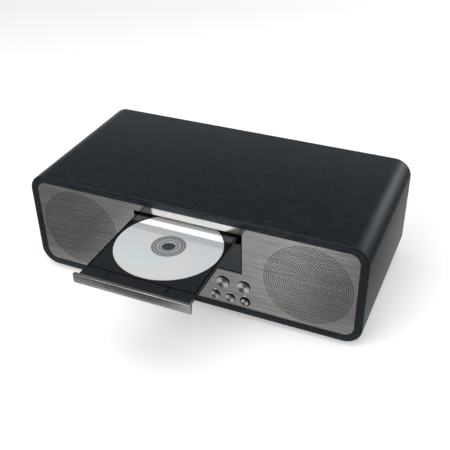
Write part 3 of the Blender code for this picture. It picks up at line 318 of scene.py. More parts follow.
@dataclass(frozen=True)
class Finish:
    """A named surface. Each kind paints its own nodes once and is then shared."""

    name: str

    def material(self) -> bpy.types.Material:
        """Makes the finish's material on first use.

        Returns:
            The material.
        """
        found = bpy.data.materials.get("finish_" + self.name)
        if found is None:
            graph = Graph("finish_" + self.name)
            self.paint(graph)
            found = graph.material
        return found

    def paint(self, graph: Graph) -> None:
        """Lays the finish's nodes."""
        raise NotImplementedError


@dataclass(frozen=True)
class VinylWrap(Finish):
    """Blue-black satin wrap with a fine drawn grain across the cabinet."""

    colour: Colour = (0.0008, 0.0018, 0.0030)
    streak_colour: Colour = (0.0120, 0.0172, 0.0225)
    streak_length: float = 9 * MM
    streak_width: float = 0.75 * MM
    streak_detail: float = 4.0
    streak_rough: float = 0.62
    streak_share: float = 0.9
    grain_range: Tuple[float, float] = (0.42, 0.64)
    cloud_stretch: Triple = (40, 90, 90)
    pore_stretch: Triple = (900, 1400, 1400)
    pore_share: float = 0.25
    roughness: float = 0.40
    streak_gloss: float = 0.22
    pore_gloss: float = 0.08
    depth: float = 0.30 * MM
    strength: float = 0.7
    specular: float = 0.22
    tint: Tuple[float, float, float, float] = (0.80, 0.94, 1.0, 1.0)

    def paint(self, graph: Graph) -> None:
        """Long fine streaks over a soft cloud.

        Args:
            graph: The material's nodes.
        """
        stretch = (1 / self.streak_length, 1 / self.streak_width, 1 / self.streak_width)
        streaks = graph.noise(
            graph.place(stretch=stretch), detail=self.streak_detail, rough=self.streak_rough
        )
        cloud = graph.noise(graph.place(stretch=self.cloud_stretch), detail=2.0)
        pores = graph.noise(graph.place(stretch=self.pore_stretch), detail=1.0)
        grain = streaks * self.streak_share + cloud * (1 - self.streak_share)
        height = streaks * (1 - self.pore_share) + pores * self.pore_share
        gloss = (streaks - 0.5) * self.streak_gloss + (pores - 0.5) * self.pore_gloss
        graph.surface(
            Base_Color=graph.mix(
                graph.ramp(grain, *self.grain_range), self.colour, self.streak_colour
            ),
            Roughness=self.roughness + gloss,
            Normal=graph.bump(height, self.depth, self.strength),
            Specular_IOR_Level=self.specular,
            Specular_Tint=self.tint,
        )


@dataclass(frozen=True)
class BrushedMetal(Finish):
    """Grey metal brushed from side to side."""

    colour: Colour = (0.275, 0.270, 0.262)
    dark: float = 0.60
    light: float = 1.34
    fine_stretch: Triple = (1 / (38 * MM), 1, 1 / (0.5 * MM))
    broad_stretch: Triple = (7, 1, 1 / (2.25 * MM))
    mark_rough: float = 0.6
    mark_range: Tuple[float, float] = (0.3, 0.7)
    fine_share: float = 0.6
    fine_height: float = 0.7
    roughness: float = 0.20
    broad_gloss: float = 0.12
    depth: float = 0.03 * MM
    strength: float = 0.4
    stretch_of_gloss: float = 0.7
    turn_of_gloss: float = 0.25

    def paint(self, graph: Graph) -> None:
        """Broad and fine brush marks along x.

        Args:
            graph: The material's nodes.
        """
        fine = graph.noise(graph.place(stretch=self.fine_stretch), rough=self.mark_rough)
        broad = graph.noise(graph.place(stretch=self.broad_stretch), rough=self.mark_rough)
        marks = fine * self.fine_share + broad * (1 - self.fine_share)
        height = fine * self.fine_height + broad * (1 - self.fine_height)
        graph.surface(
            Base_Color=graph.scaled(
                self.colour, graph.ramp(marks, *self.mark_range, self.dark, self.light)
            ),
            Metallic=1.0,
            Roughness=self.roughness + (broad - 0.5) * self.broad_gloss,
            Normal=graph.bump(height, self.depth, self.strength),
            Anisotropic=self.stretch_of_gloss,
            Anisotropic_Rotation=self.turn_of_gloss,
        )


@dataclass(frozen=True)
class SpunMetal(Finish):
    """Metal turned on a lathe, with rings about a key's own axis."""

    centre: Triple = (0.0, 0.0, 0.0)
    colour: Colour = (0.25, 0.245, 0.238)
    ring: float = 0.33 * MM
    ring_shade: float = 0.07
    ring_gloss: float = 0.04
    ring_lean: float = 0.7
    axis_guard: float = 1e-5  # keeps the distance from the axis above nought
    wobble_stretch: float = 2600
    wobble_lean: float = 1.6
    lean: float = 0.20
    # Painted highlight and painted shade: two light and two dark wedges round the axis, plain near
    # the middle.
    sweep_turn: float = math.radians(150)
    sweep_dark: float = 0.30
    painted_sheen_light: float = 2.1
    plain_middle: Tuple[float, float] = (0.2 * MM, 1.5 * MM)
    roughness: float = 0.20

    def paint(self, graph: Graph) -> None:
        """Fine rings that lean the normal in and out, and two painted highlight wedges across
        them, with two painted shade wedges between.

        Args:
            graph: The material's nodes.
        """
        x, _, z = graph.parts(graph.place(centre=self.centre))
        radius = (x * x + z * z) ** 0.5
        rings = (radius * (FULL_TURN / self.ring)).sine()
        length = radius + self.axis_guard
        outward = graph.value(
            "ShaderNodeCombineXYZ", None, {0: x / length, 1: 0.0, 2: z / length}
        )
        wobble = graph.noise(
            graph.place(centre=self.centre, stretch=(self.wobble_stretch,) * 3), detail=1.0
        )
        lean = graph.scaled(outward, rings * self.ring_lean + (wobble - 0.5) * self.wobble_lean)
        # Painted highlight and painted shade by angle round the key, standing in for its spun
        # reflections.
        painted_sheen_sweep = (graph.angle(z, x) * 2 + self.sweep_turn).sine() * 0.5 + 0.5
        painted_sheen = graph.ramp(painted_sheen_sweep, 0.0, 1.0, self.sweep_dark, self.painted_sheen_light)
        painted_sheen_level = (painted_sheen - 1.0) * graph.ramp(radius, *self.plain_middle) + 1.0
        graph.surface(
            Base_Color=graph.scaled(
                self.colour, painted_sheen_level * ((1 - self.ring_shade) + rings * self.ring_shade)
            ),
            Metallic=1.0,
            Roughness=self.roughness + rings * self.ring_gloss,
            Normal=graph.tilt(lean, self.lean),
        )


@dataclass(frozen=True)
class DiscSilver(Finish):
    """The play side of a compact disc: clear hub with moulded rings, then the silver band."""

    centre: Triple = (0.0, 0.0, 0.0)
    outer_radius: float = 60 * MM
    zones: Stops = (
        (0.0, (0.24, 0.25, 0.27)),
        (0.140, (0.40, 0.42, 0.45)),
        (0.152, (0.27, 0.28, 0.30)),
        (0.185, (0.24, 0.25, 0.27)),
        (0.197, (0.46, 0.48, 0.47)),
        (0.212, (0.46, 0.48, 0.47)),
        (0.225, (0.20, 0.21, 0.23)),
        (0.262, (0.24, 0.25, 0.27)),
        (0.275, (0.46, 0.48, 0.47)),
        (0.288, (0.17, 0.18, 0.20)),
        (0.312, (0.16, 0.17, 0.18)),
        (0.322, (0.93, 0.94, 0.94)),
        (0.375, (0.93, 0.94, 0.94)),
        (0.385, (0.93, 0.955, 0.965)),
        (0.966, (0.93, 0.955, 0.965)),
        (0.975, (0.97, 0.97, 0.97)),
    )
    # Painted sheen: a faint rainbow painted into the colour by angle round the band.
    play: Tuple[Tuple[float, float], ...] = ((0.0, 0.030), (1.6, 0.018), (3.4, 0.030))
    sheen_twist: float = 5.0
    metal_range: Tuple[float, float] = (0.312, 0.322)
    metal: Tuple[float, float] = (0.3, 0.52)
    gloss_range: Tuple[float, float] = (0.30, 0.33)
    gloss: Tuple[float, float] = (0.10, 0.025)
    track: float = 0.12 * MM
    track_gloss: float = 0.004
    coat: float = 0.5
    coat_roughness: float = 0.02

    def paint(self, graph: Graph) -> None:
        """Zones by radius, with a faint rainbow sheen painted round the band.

        Args:
            graph: The material's nodes.
        """
        x, y, _ = graph.parts(graph.place(centre=self.centre))
        radius = (x * x + y * y) ** 0.5
        share = radius / self.outer_radius
        zones = graph.value("ShaderNodeValToRGB", {"stops": self.zones}, {0: share})
        # Painted sheen: the rainbow's phase by angle, twisted outwards.
        phase = graph.angle(y, x) * 2 + share * self.sheen_twist
        painted_sheen_channels = {
            index: 1.0 + (phase + shift).sine() * amount
            for index, (shift, amount) in enumerate(self.play)
        }
        play = graph.value("ShaderNodeCombineColor", {"mode": "RGB"}, painted_sheen_channels)
        zones_with_sheen = graph.value(
            "ShaderNodeVectorMath", {"operation": "MULTIPLY"}, {0: zones, 1: play}
        )
        tracks = (radius * (FULL_TURN / self.track)).sine()
        gloss = graph.ramp(share, *self.gloss_range, *self.gloss)
        graph.surface(
            Base_Color=zones_with_sheen,
            Metallic=graph.ramp(share, *self.metal_range, *self.metal),
            Roughness=gloss + tracks * self.track_gloss,
            Coat_Weight=self.coat,
            Coat_Roughness=self.coat_roughness,
        )


@dataclass(frozen=True)
class Moulded(Finish):
    """Moulded plastic, rubber, paper or lacquer: a plain colour with a fine texture."""

    colour: Colour = (0.010, 0.0118, 0.0135)
    roughness: float = 0.4
    texture: float = 0.5 * MM
    depth: float = 0.02 * MM
    spread: float = 0.12
    metallic: float = 0.0
    specular: float = 0.5
    cloud_stretch: float = 60
    texture_gloss: float = 0.12
    cloud_gloss: float = 0.08
    strength: float = 0.6

    def paint(self, graph: Graph) -> None:
        """Texture in the height, and cloud in the colour and the gloss.

        Args:
            graph: The material's nodes.
        """
        fine = graph.cloud(1 / self.texture, detail=3.0)
        cloud = graph.cloud(self.cloud_stretch, detail=3.0)
        gloss = (fine - 0.5) * self.texture_gloss + (cloud - 0.5) * self.cloud_gloss
        graph.surface(
            Base_Color=graph.scaled(self.colour, 1.0 - self.spread + cloud * 2 * self.spread),
            Metallic=self.metallic,
            Roughness=self.roughness + gloss,
            Normal=graph.bump(fine, self.depth, self.strength),
            Specular_IOR_Level=self.specular,
        )


@dataclass(frozen=True)
class CircuitBoard(Finish):
    """Green lacquered board with lighter copper runs and solder dots."""

    lacquer: Colour = (0.012, 0.085, 0.035)
    run_colour: Colour = (0.03, 0.17, 0.07)
    solder_colour: Colour = (0.55, 0.56, 0.57)
    stretch: float = 400
    run_scale: float = 0.6
    run_range: Tuple[float, float] = (0.35, 0.42)
    dot_scale: float = 1.3
    dot_range: Tuple[float, float] = (0.10, 0.16)
    roughness: float = 0.35
    solder_gloss: float = 0.1
    depth: float = 0.05 * MM
    strength: float = 0.4

    def paint(self, graph: Graph) -> None:
        """Runs on a square grid, and dots at some crossings.

        Args:
            graph: The material's nodes.
        """
        board = graph.place(stretch=(self.stretch,) * 3)
        runs = graph.value(
            "ShaderNodeTexVoronoi",
            {"distance": "MANHATTAN"},
            {"Vector": board, "Scale": self.run_scale},
        )
        dots = graph.value(
            "ShaderNodeTexVoronoi", None, {"Vector": board, "Scale": self.dot_scale}
        )
        green = graph.mix(graph.ramp(runs, *self.run_range), self.lacquer, self.run_colour)
        solder = graph.ramp(dots, *self.dot_range, 1.0, 0.0)
        graph.surface(
            Base_Color=graph.mix(solder, green, self.solder_colour),
            Metallic=solder,
            Roughness=self.roughness + solder * self.solder_gloss,
            Normal=graph.bump(runs, self.depth, self.strength),
        )


@dataclass(frozen=True)
class PaintedMark(Finish):
    """Pale printed ink, slightly uneven."""

    colour: Colour = (0.82, 0.83, 0.84)
    stretch: float = 5000
    darkest: float = 0.94
    spread: float = 0.1
    roughness: float = 0.45
    gloss: float = 0.15

    def paint(self, graph: Graph) -> None:
        """Ink with small gaps in its gloss.

        Args:
            graph: The material's nodes.
        """
        ink = graph.cloud(self.stretch)
        graph.surface(
            Base_Color=graph.scaled(self.colour, self.darkest + ink * self.spread),
            Roughness=self.roughness + ink * self.gloss,
        )


class Slot(Enum):
    """The material slots, each with the finish that dresses its CAD nodes."""

    BLACK_WRAP = VinylWrap("black_wrap")
    BRUSHED_PANEL = BrushedMetal("brushed_panel")
    GRILLE = BrushedMetal("grille")
    KEY_METAL = SpunMetal("key_metal")
    FIBREBOARD = Moulded(
        "fibreboard", (0.006, 0.0055, 0.005), 0.85, 0.8 * MM, 0.15 * MM, 0.35, specular=0.2
    )
    BLACK_PLASTIC = Moulded(
        "black_plastic", roughness=0.34, texture=0.35 * MM, depth=0.012 * MM
    )
    DARK_WINDOW = Moulded(
        "dark_window", (0.008, 0.015, 0.022), 0.06, 2 * MM, 0.002 * MM, 0.1, specular=0.42
    )
    RUBBER = Moulded(
        "rubber", (0.012, 0.012, 0.012), 0.8, 0.6 * MM, 0.05 * MM, 0.2, specular=0.3
    )
    PAPER_CONE = Moulded(
        "paper_cone", (0.016, 0.016, 0.017), 0.8, 0.9 * MM, 0.12 * MM, 0.3, specular=0.3
    )
    STEEL = Moulded("steel", (0.45, 0.45, 0.46), 0.32, 1.5 * MM, 0.01 * MM, 0.08, metallic=1.0)
    FERRITE = Moulded("ferrite", (0.035, 0.035, 0.038), 0.6, 0.7 * MM, 0.05 * MM, 0.2)
    CIRCUIT_BOARD = CircuitBoard("circuit_board")
    ALUMINIUM = Moulded(
        "aluminium", (0.62, 0.63, 0.64), 0.34, 0.4 * MM, 0.01 * MM, 0.06, metallic=1.0
    )
    WHITE_GEAR = Moulded("white_gear", (0.72, 0.71, 0.67), 0.42, 0.5 * MM, 0.01 * MM, 0.04)
    DISC_SILVER = DiscSilver("disc_silver")

    @property
    def slot_name(self) -> str:
        """The slot's name in lower case."""
        return self.name.lower()


# --------------------------------------------------------------------------- shapes


@dataclass(frozen=True, eq=False)
class Box:
    """The place that a CAD node fills at rest."""

    low: Vector
    high: Vector

    @classmethod
    def of(cls, node: str) -> "Box":
        """The box of a CAD node."""
        return cls(*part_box(node))

    @property
    def centre(self) -> Vector:
        """Its middle."""
        return (self.low + self.high) / 2

    @property
    def size(self) -> Vector:
        """Its three sides."""
        return self.high - self.low


def upright(centre: Sequence[float]) -> Matrix:
    """Stands a flat shape up about a point, parallel to the cabinet's front."""
    return Matrix.Translation(centre) @ Matrix.Rotation(QUARTER_TURN, 4, "X")


def new_verts(made: Iterable[Any]) -> List[Any]:
    """The vertices among what an operator made."""
    return [item for item in made if isinstance(item, bmesh.types.BMVert)]


def edges_of(verts: Iterable[Any]) -> List[Any]:
    """The edges that meet these vertices, each once and always in the same order."""
    return list(dict.fromkeys(edge for vert in verts for edge in vert.link_edges))


def bevel(bm: BMesh, geom: List[Any], offset: float, steps: int, affect: str = "EDGES") -> None:
    """Rounds edges or corners.

    Args:
        bm: The mesh.
        geom: The edges, or the corners' vertices.
        offset: How far the rounding reaches.
        steps: Segments in each rounding.
        affect: "EDGES" or "VERTICES".
    """
    bmesh.ops.bevel(
        bm,
        geom=geom,
        offset=offset,
        offset_type="OFFSET",
        segments=steps,
        profile=0.5,
        affect=affect,
        material=-1,
    )


def rounded_face(
    bm: BMesh, size: Tuple[float, float], centre: Vector, radius: float, steps: int
) -> Any:
    """Adds an upright face, parallel to the cabinet's front, with round corners.

    Args:
        bm: The mesh to add to.
        size: Width and height.
        centre: The face's middle.
        radius: The corners' radius.
        steps: Segments in each corner.

    Returns:
        The face.
    """
    matrix = upright(centre) @ Matrix.Diagonal((*size, 1, 1))
    made = bmesh.ops.create_grid(bm, x_segments=1, y_segments=1, size=0.5, matrix=matrix)
    before = set(bm.faces) - {made["verts"][0].link_faces[0]}
    bevel(bm, made["verts"], radius, steps, "VERTICES")
    return next(face for face in bm.faces if face not in before)


def loop_only(bm: BMesh, face: Any) -> List[Any]:
    """Takes a face away and leaves its edges.

    Args:
        bm: The mesh.
        face: The face.

    Returns:
        Its edges.
    """
    edges = list(face.edges)
    bmesh.ops.delete(bm, geom=[face], context="FACES_ONLY")
    return edges


def ring_edges(bm: BMesh, centre: Vector, radius: float, steps: int) -> List[Any]:
    """Adds an upright ring, parallel to the cabinet's front.

    Args:
        bm: The mesh to add to.
        centre: The ring's middle.
        radius: Its radius.
        steps: Its sides.

    Returns:
        Its edges.
    """
    made = bmesh.ops.create_circle(
        bm, cap_ends=False, segments=steps, radius=radius, matrix=upright(centre)
    )
    return edges_of(made["verts"])


def quarter_round(start: float, rounding: float, steps: int) -> List[Tuple[float, float]]:
    """Profile points round a turned solid's outer edge.

    Args:
        start: The radius where the rounding starts.
        rounding: Its radius.
        steps: Segments in it.

    Returns:
        (radius, distance along the axis) pairs, without the first one.
    """
    angles = [QUARTER_TURN * step / steps for step in range(1, steps + 1)]
    return [
        (start + rounding * math.sin(angle), rounding * (1 - math.cos(angle))) for angle in angles
    ]


def turned(
    bm: BMesh, profile: Sequence[Tuple[float, float]], centre: Vector, axis: Vector, steps: int
) -> None:
    """Adds a closed turned solid.

    Args:
        bm: The mesh to add to.
        profile: (radius, distance along the axis) pairs. It is closed from its end to its start
            unless both ends lie on the axis.
        centre: The point on the axis from which distances count.
        axis: The axis's direction.
        steps: Sides of the turned solid.
    """
    side = axis.orthogonal().normalized()
    verts = [bm.verts.new(centre + side * radius + axis * along) for radius, along in profile]
    on_axis = profile[0][0] == 0 and profile[-1][0] == 0
    pairs = list(zip(verts, verts[1:])) + ([] if on_axis else [(verts[-1], verts[0])])
    edges = [bm.edges.new(pair) for pair in pairs]
    bmesh.ops.spin(
        bm,
        geom=verts + edges,
        cent=centre,
        axis=axis,
        dvec=(0, 0, 0),
        angle=FULL_TURN,
        steps=steps,
        use_merge=True,
        use_duplicate=False,
    )
    bmesh.ops.remove_doubles(bm, verts=bm.verts[:], dist=TOUCH)


def soft_block(bm: BMesh, box: Box, rounding: float, steps: int) -> None:
    """Adds a block with round edges.

    Args:
        bm: The mesh to add to.
        box: The block's place.
        rounding: Its edges' radius.
        steps: Segments in each edge.
    """
    matrix = Matrix.Translation(box.centre) @ Matrix.Diagonal((*box.size, 1))
    made = bmesh.ops.create_cube(bm, size=1.0, matrix=matrix)
    bevel(bm, edges_of(made["verts"]), rounding, steps)


@dataclass
class Maker:
    """What every sub-assembly shares: turning a bmesh into a piece that rides on a body."""

    smooth_angle: float = math.radians(32)

    def piece(
        self,
        bm: BMesh,
        name: str,
        finishes: Sequence[Finish],
        body: str,
        slot: Slot,
        replaced: Iterable[str] = (),
    ) -> bpy.types.Object:
        """Finishes one piece.

        Args:
            bm: Its mesh, which is freed.
            name: The piece's name.
            finishes: Its finishes, in the order of its faces' material indices.
            body: The CAD body that it rides on.
            slot: Not used.
            replaced: The CAD nodes that it stands for.

        Returns:
            The piece.
        """
        bmesh.ops.recalc_face_normals(bm, faces=bm.faces[:])
        mesh = bpy.data.meshes.new(name)
        bm.to_mesh(mesh)
        bm.free()
        for polygon in mesh.polygons:
            polygon.use_smooth = True
        mesh.set_sharp_from_angle(angle=self.smooth_angle)
        for finish in finishes:
            mesh.materials.append(finish.material())
        made = bpy.data.objects.new(name, mesh)
        bpy.context.scene.collection.objects.link(made)
        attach(made, body)
        if replaced:
            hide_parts(*replaced)
        LOG.info("%s: %d faces on %s", name, len(mesh.polygons), body)
        return made


# --------------------------------------------------------------------------- cabinet


@dataclass
class Cabinet(Maker):
    """The wrapped sleeve round the whole cabinet, and its feet."""

    corner_radius: float = 22 * MM
    wall: float = 10 * MM
    rim_rounding: float = 1.6 * MM
    rim_steps: int = 5
    rim_angle: float = math.radians(60)
    corner_steps: int = 20
    foot_rounding: float = 1.2 * MM
    foot_steps: int = 4
    foot_sides: int = 48
    feet: Tuple[str, ...] = (
        "foot_front_left",
        "foot_front_right",
        "foot_rear_left",
        "foot_rear_right",
    )

    def build(self) -> None:
        """Builds the sleeve and the four feet."""
        self.build_sleeve()
        for foot in self.feet:
            self.build_foot(foot)

    def build_sleeve(self) -> None:
        """A rounded frame drawn back through the cabinet's depth, with rolled rims."""
        box = Box.of("cabinet_sleeve")
        bm = bmesh.new()
        start = Vector((box.centre.x, box.low.y, box.centre.z))
        size = (box.size.x, box.size.z)
        face = rounded_face(bm, size, start, self.corner_radius, self.corner_steps)
        bmesh.ops.inset_region(
            bm, faces=[face], thickness=self.wall, use_boundary=True, use_even_offset=True
        )
        bmesh.ops.delete(bm, geom=[face], context="FACES_ONLY")
        drawn = bmesh.ops.extrude_face_region(bm, geom=bm.faces[:])
        bmesh.ops.translate(bm, vec=(0, box.size.y, 0), verts=new_verts(drawn["geom"]))
        bmesh.ops.recalc_face_normals(bm, faces=bm.faces[:])
        rims = [
            edge
            for edge in bm.edges
            if abs(edge.verts[0].co.y - edge.verts[1].co.y) < TOUCH
            and edge.calc_face_angle(0) > self.rim_angle
        ]
        bevel(bm, rims, self.rim_rounding, self.rim_steps)
        wrap = Slot.BLACK_WRAP
        self.piece(bm, "wrapped_sleeve", [wrap.value], "cabinet", wrap, ["cabinet_sleeve"])

    def build_foot(self, node: str) -> None:
        """A turned rubber foot with a soft lower edge.

        Args:
            node: The CAD foot.
        """
        box = Box.of(node)
        radius, height = box.size.x / 2, box.size.z
        inner = radius - self.foot_rounding
        profile = [(0.0, 0.0), (inner, 0.0)]
        profile += quarter_round(inner, self.foot_rounding, self.foot_steps)
        profile += [(radius, height), (0.0, height)]
        bm = bmesh.new()
        base = Vector((box.centre.x, box.centre.y, box.low.z))
        turned(bm, profile, base, Vector((0, 0, 1)), self.foot_sides)
        self.piece(bm, "rubber_" + node, [Slot.RUBBER.value], "cabinet", Slot.RUBBER, [node])


# --------------------------------------------------------------------------- front


KEY_NODES = (
    "key_big_inner_left",
    "key_big_outer_left",
    "key_small_inner_left",
    "key_small_middle_left",
    "key_small_outer_left",
    "key_big_inner_right",
    "key_big_outer_right",
    "key_small_inner_right",
    "key_small_middle_right",
    "power_key",
)


@dataclass
class FrontPanel(Maker):
    """The brushed sheet with its pierced speaker grilles and openings, and the display window."""

    corner_radius: float = 16 * MM
    corner_steps: int = 16
    edge_rounding: float = 0.4 * MM
    play: float = 0.4 * MM
    slot_above_strip: float = 0.5 * MM
    usb_play: float = 0.3 * MM
    key_play: float = 0.35 * MM
    power_play: float = 1.8 * MM
    opening_corner: float = 0.6 * MM
    opening_steps: int = 4
    usb_corner: float = 0.5 * MM
    usb_steps: int = 3
    key_hole_sides: int = 40
    back_share: float = 0.75  # of the thickness, past which a vertex is on the back
    ring_count: int = 20
    ring_pitch: float = 2.55 * MM
    hole_radius: float = 0.80 * MM
    hole_sides: int = 8
    rim_sides: int = 96
    fill_turn: float = 0.37  # radians that keep the holes' corners off one line in the fill
    # Painted shade: a matt black border round the pane stands in for the dark gap round it.
    window_border: float = 0.9 * MM
    window_rounding: float = 0.25 * MM
    window_steps: int = 2
    border: Finish = Moulded("window_border", (0.0015, 0.0015, 0.0015), 0.9, specular=0.05)
    grilles: Tuple[str, ...] = ("speaker_grille_left", "speaker_grille_right")

    def build(self) -> None:
        """Builds the sheet and the window."""
        self.build_sheet()
        self.build_window()

    def pierce(self, bm: BMesh, node: str, front: float) -> None:
        """Fills one grille round rings of small holes, six more in each ring than in the last.

        Args:
            bm: The sheet.
            node: The CAD grille.
            front: Where the sheet's front is.
        """
        box = Box.of(node)
        turn = Matrix.Rotation(self.fill_turn, 4, "Z")
        made = bmesh.ops.create_circle(
            bm, cap_ends=False, segments=self.rim_sides, radius=box.size.x / 2, matrix=turn
        )
        verts = list(made["verts"])
        for ring in range(self.ring_count + 1):
            count = max(1, 6 * ring)
            out = Matrix.Translation((ring * self.ring_pitch, 0, 0))
            for index in range(count):
                around = Matrix.Rotation(FULL_TURN * index / count, 4, "Z")
                made = bmesh.ops.create_circle(
                    bm,
                    cap_ends=False,
                    segments=self.hole_sides,
                    radius=self.hole_radius,
                    matrix=turn @ around @ out,
                )
                verts += made["verts"]
        bmesh.ops.triangle_fill(bm, use_beauty=True, use_dissolve=False, edges=edges_of(verts))
        stand = upright((box.centre.x, front, box.centre.z))
        bmesh.ops.transform(bm, matrix=stand @ turn.inverted(), verts=verts)

    def openings(self, bm: BMesh, front: float) -> List[Any]:
        """Adds the outlines of every opening and grille.

        Args:
            bm: The sheet.
            front: Where its front is.

        Returns:
            The outlines' edges.
        """
        window, strip, usb = (
            Box.of(node) for node in ("display_window", "tray_strip", "usb_socket")
        )
        low, high = window.low.z - self.play, strip.high.z + self.slot_above_strip
        size = (window.size.x + 2 * self.play, high - low)
        spot = Vector((0, front, (low + high) / 2))
        face = rounded_face(bm, size, spot, self.opening_corner, self.opening_steps)
        edges = loop_only(bm, face)
        size = (usb.size.x + 2 * self.usb_play, usb.size.z + 2 * self.usb_play)
        spot = Vector((usb.centre.x, front, usb.centre.z))
        edges += loop_only(bm, rounded_face(bm, size, spot, self.usb_corner, self.usb_steps))
        for node in KEY_NODES:
            key = Box.of(node)
            play = self.power_play if node == "power_key" else self.key_play
            spot = Vector((key.centre.x, front, key.centre.z))
            edges += ring_edges(bm, spot, key.size.x / 2 + play, self.key_hole_sides)
        for node in self.grilles:
            grille = Box.of(node)
            spot = Vector((grille.centre.x, front, grille.centre.z))
            edges += ring_edges(bm, spot, grille.size.x / 2, self.rim_sides)
        return edges

    def soften(
        self, bm: BMesh, outer: Sequence[Any], middle: Vector, corner: Vector, depth: float
    ) -> None:
        """Rounds the sheet's outer front edge.

        Args:
            bm: The sheet.
            outer: The vertices of its front outline.
            middle: Its front's middle.
            corner: The way from there to the centre of a round corner.
            depth: Its thickness.
        """
        walls = [
            edge
            for vert in outer
            for edge in vert.link_edges
            if abs(edge.verts[0].co.y - edge.verts[1].co.y) > depth / 2
        ]
        split = bmesh.ops.subdivide_edges(bm, edges=walls, cuts=1)
        halfway = new_verts(split["geom_inner"])
        ends = [edge.other_vert(vert) for vert in halfway for edge in vert.link_edges]
        back = [vert for vert in ends if vert.co.y > middle.y + self.back_share * depth]
        for vert in set(halfway) | set(back):
            offset = vert.co - middle
            held = Vector((
                max(-corner.x, min(corner.x, offset.x)),
                offset.y,
                max(-corner.z, min(corner.z, offset.z)),
            ))
            vert.co += (offset - held).normalized() * self.edge_rounding
        for vert in halfway:
            vert.co.y = middle.y + self.edge_rounding

    def build_sheet(self) -> None:
        """Fills the outline round its openings, then gives it its thickness and a soft edge."""
        box = Box.of("front_panel")
        middle = Vector((box.centre.x, box.low.y, box.centre.z))
        size = (box.size.x - 2 * self.edge_rounding, box.size.z - 2 * self.edge_rounding)
        radius = self.corner_radius - self.edge_rounding
        bm = bmesh.new()
        outline = loop_only(bm, rounded_face(bm, size, middle, radius, self.corner_steps))
        outer = list(dict.fromkeys(vert for edge in outline for vert in edge.verts))
        edges = outline + self.openings(bm, middle.y)
        bmesh.ops.triangle_fill(bm, use_beauty=True, use_dissolve=False, edges=edges)
        for grille in self.grilles:
            self.pierce(bm, grille, middle.y)
        bmesh.ops.remove_doubles(bm, verts=bm.verts[:], dist=TOUCH)
        drawn = bmesh.ops.extrude_face_region(bm, geom=bm.faces[:])
        bmesh.ops.translate(bm, vec=(0, box.size.y, 0), verts=new_verts(drawn["geom"]))
        corner = Vector((size[0] / 2 - radius, 0, size[1] / 2 - radius))
        self.soften(bm, outer, middle, corner, box.size.y)
        brushed = Slot.BRUSHED_PANEL
        replaced = ["front_panel", *self.grilles]
        self.piece(bm, "front_sheet", [brushed.value], "cabinet", brushed, replaced)

    def build_window(self) -> None:
        """A dark pane with a matt black border, painted shade for the dark gap round it."""
        box = Box.of("display_window")
        bm = bmesh.new()
        soft_block(bm, box, self.window_rounding, self.window_steps)
        pane = min(bm.faces, key=lambda face: face.calc_center_median().y)
        bmesh.ops.inset_region(
            bm, faces=[pane], thickness=self.window_border, use_even_offset=True
        )
        # The border faces take the painted shade.
        for face in bm.faces:
            face.material_index = 0 if face is pane else 1
        dark = Slot.DARK_WINDOW
        finishes = [dark.value, self.border]
        self.piece(bm, "display_pane", finishes, "cabinet", dark, ["display_window"])


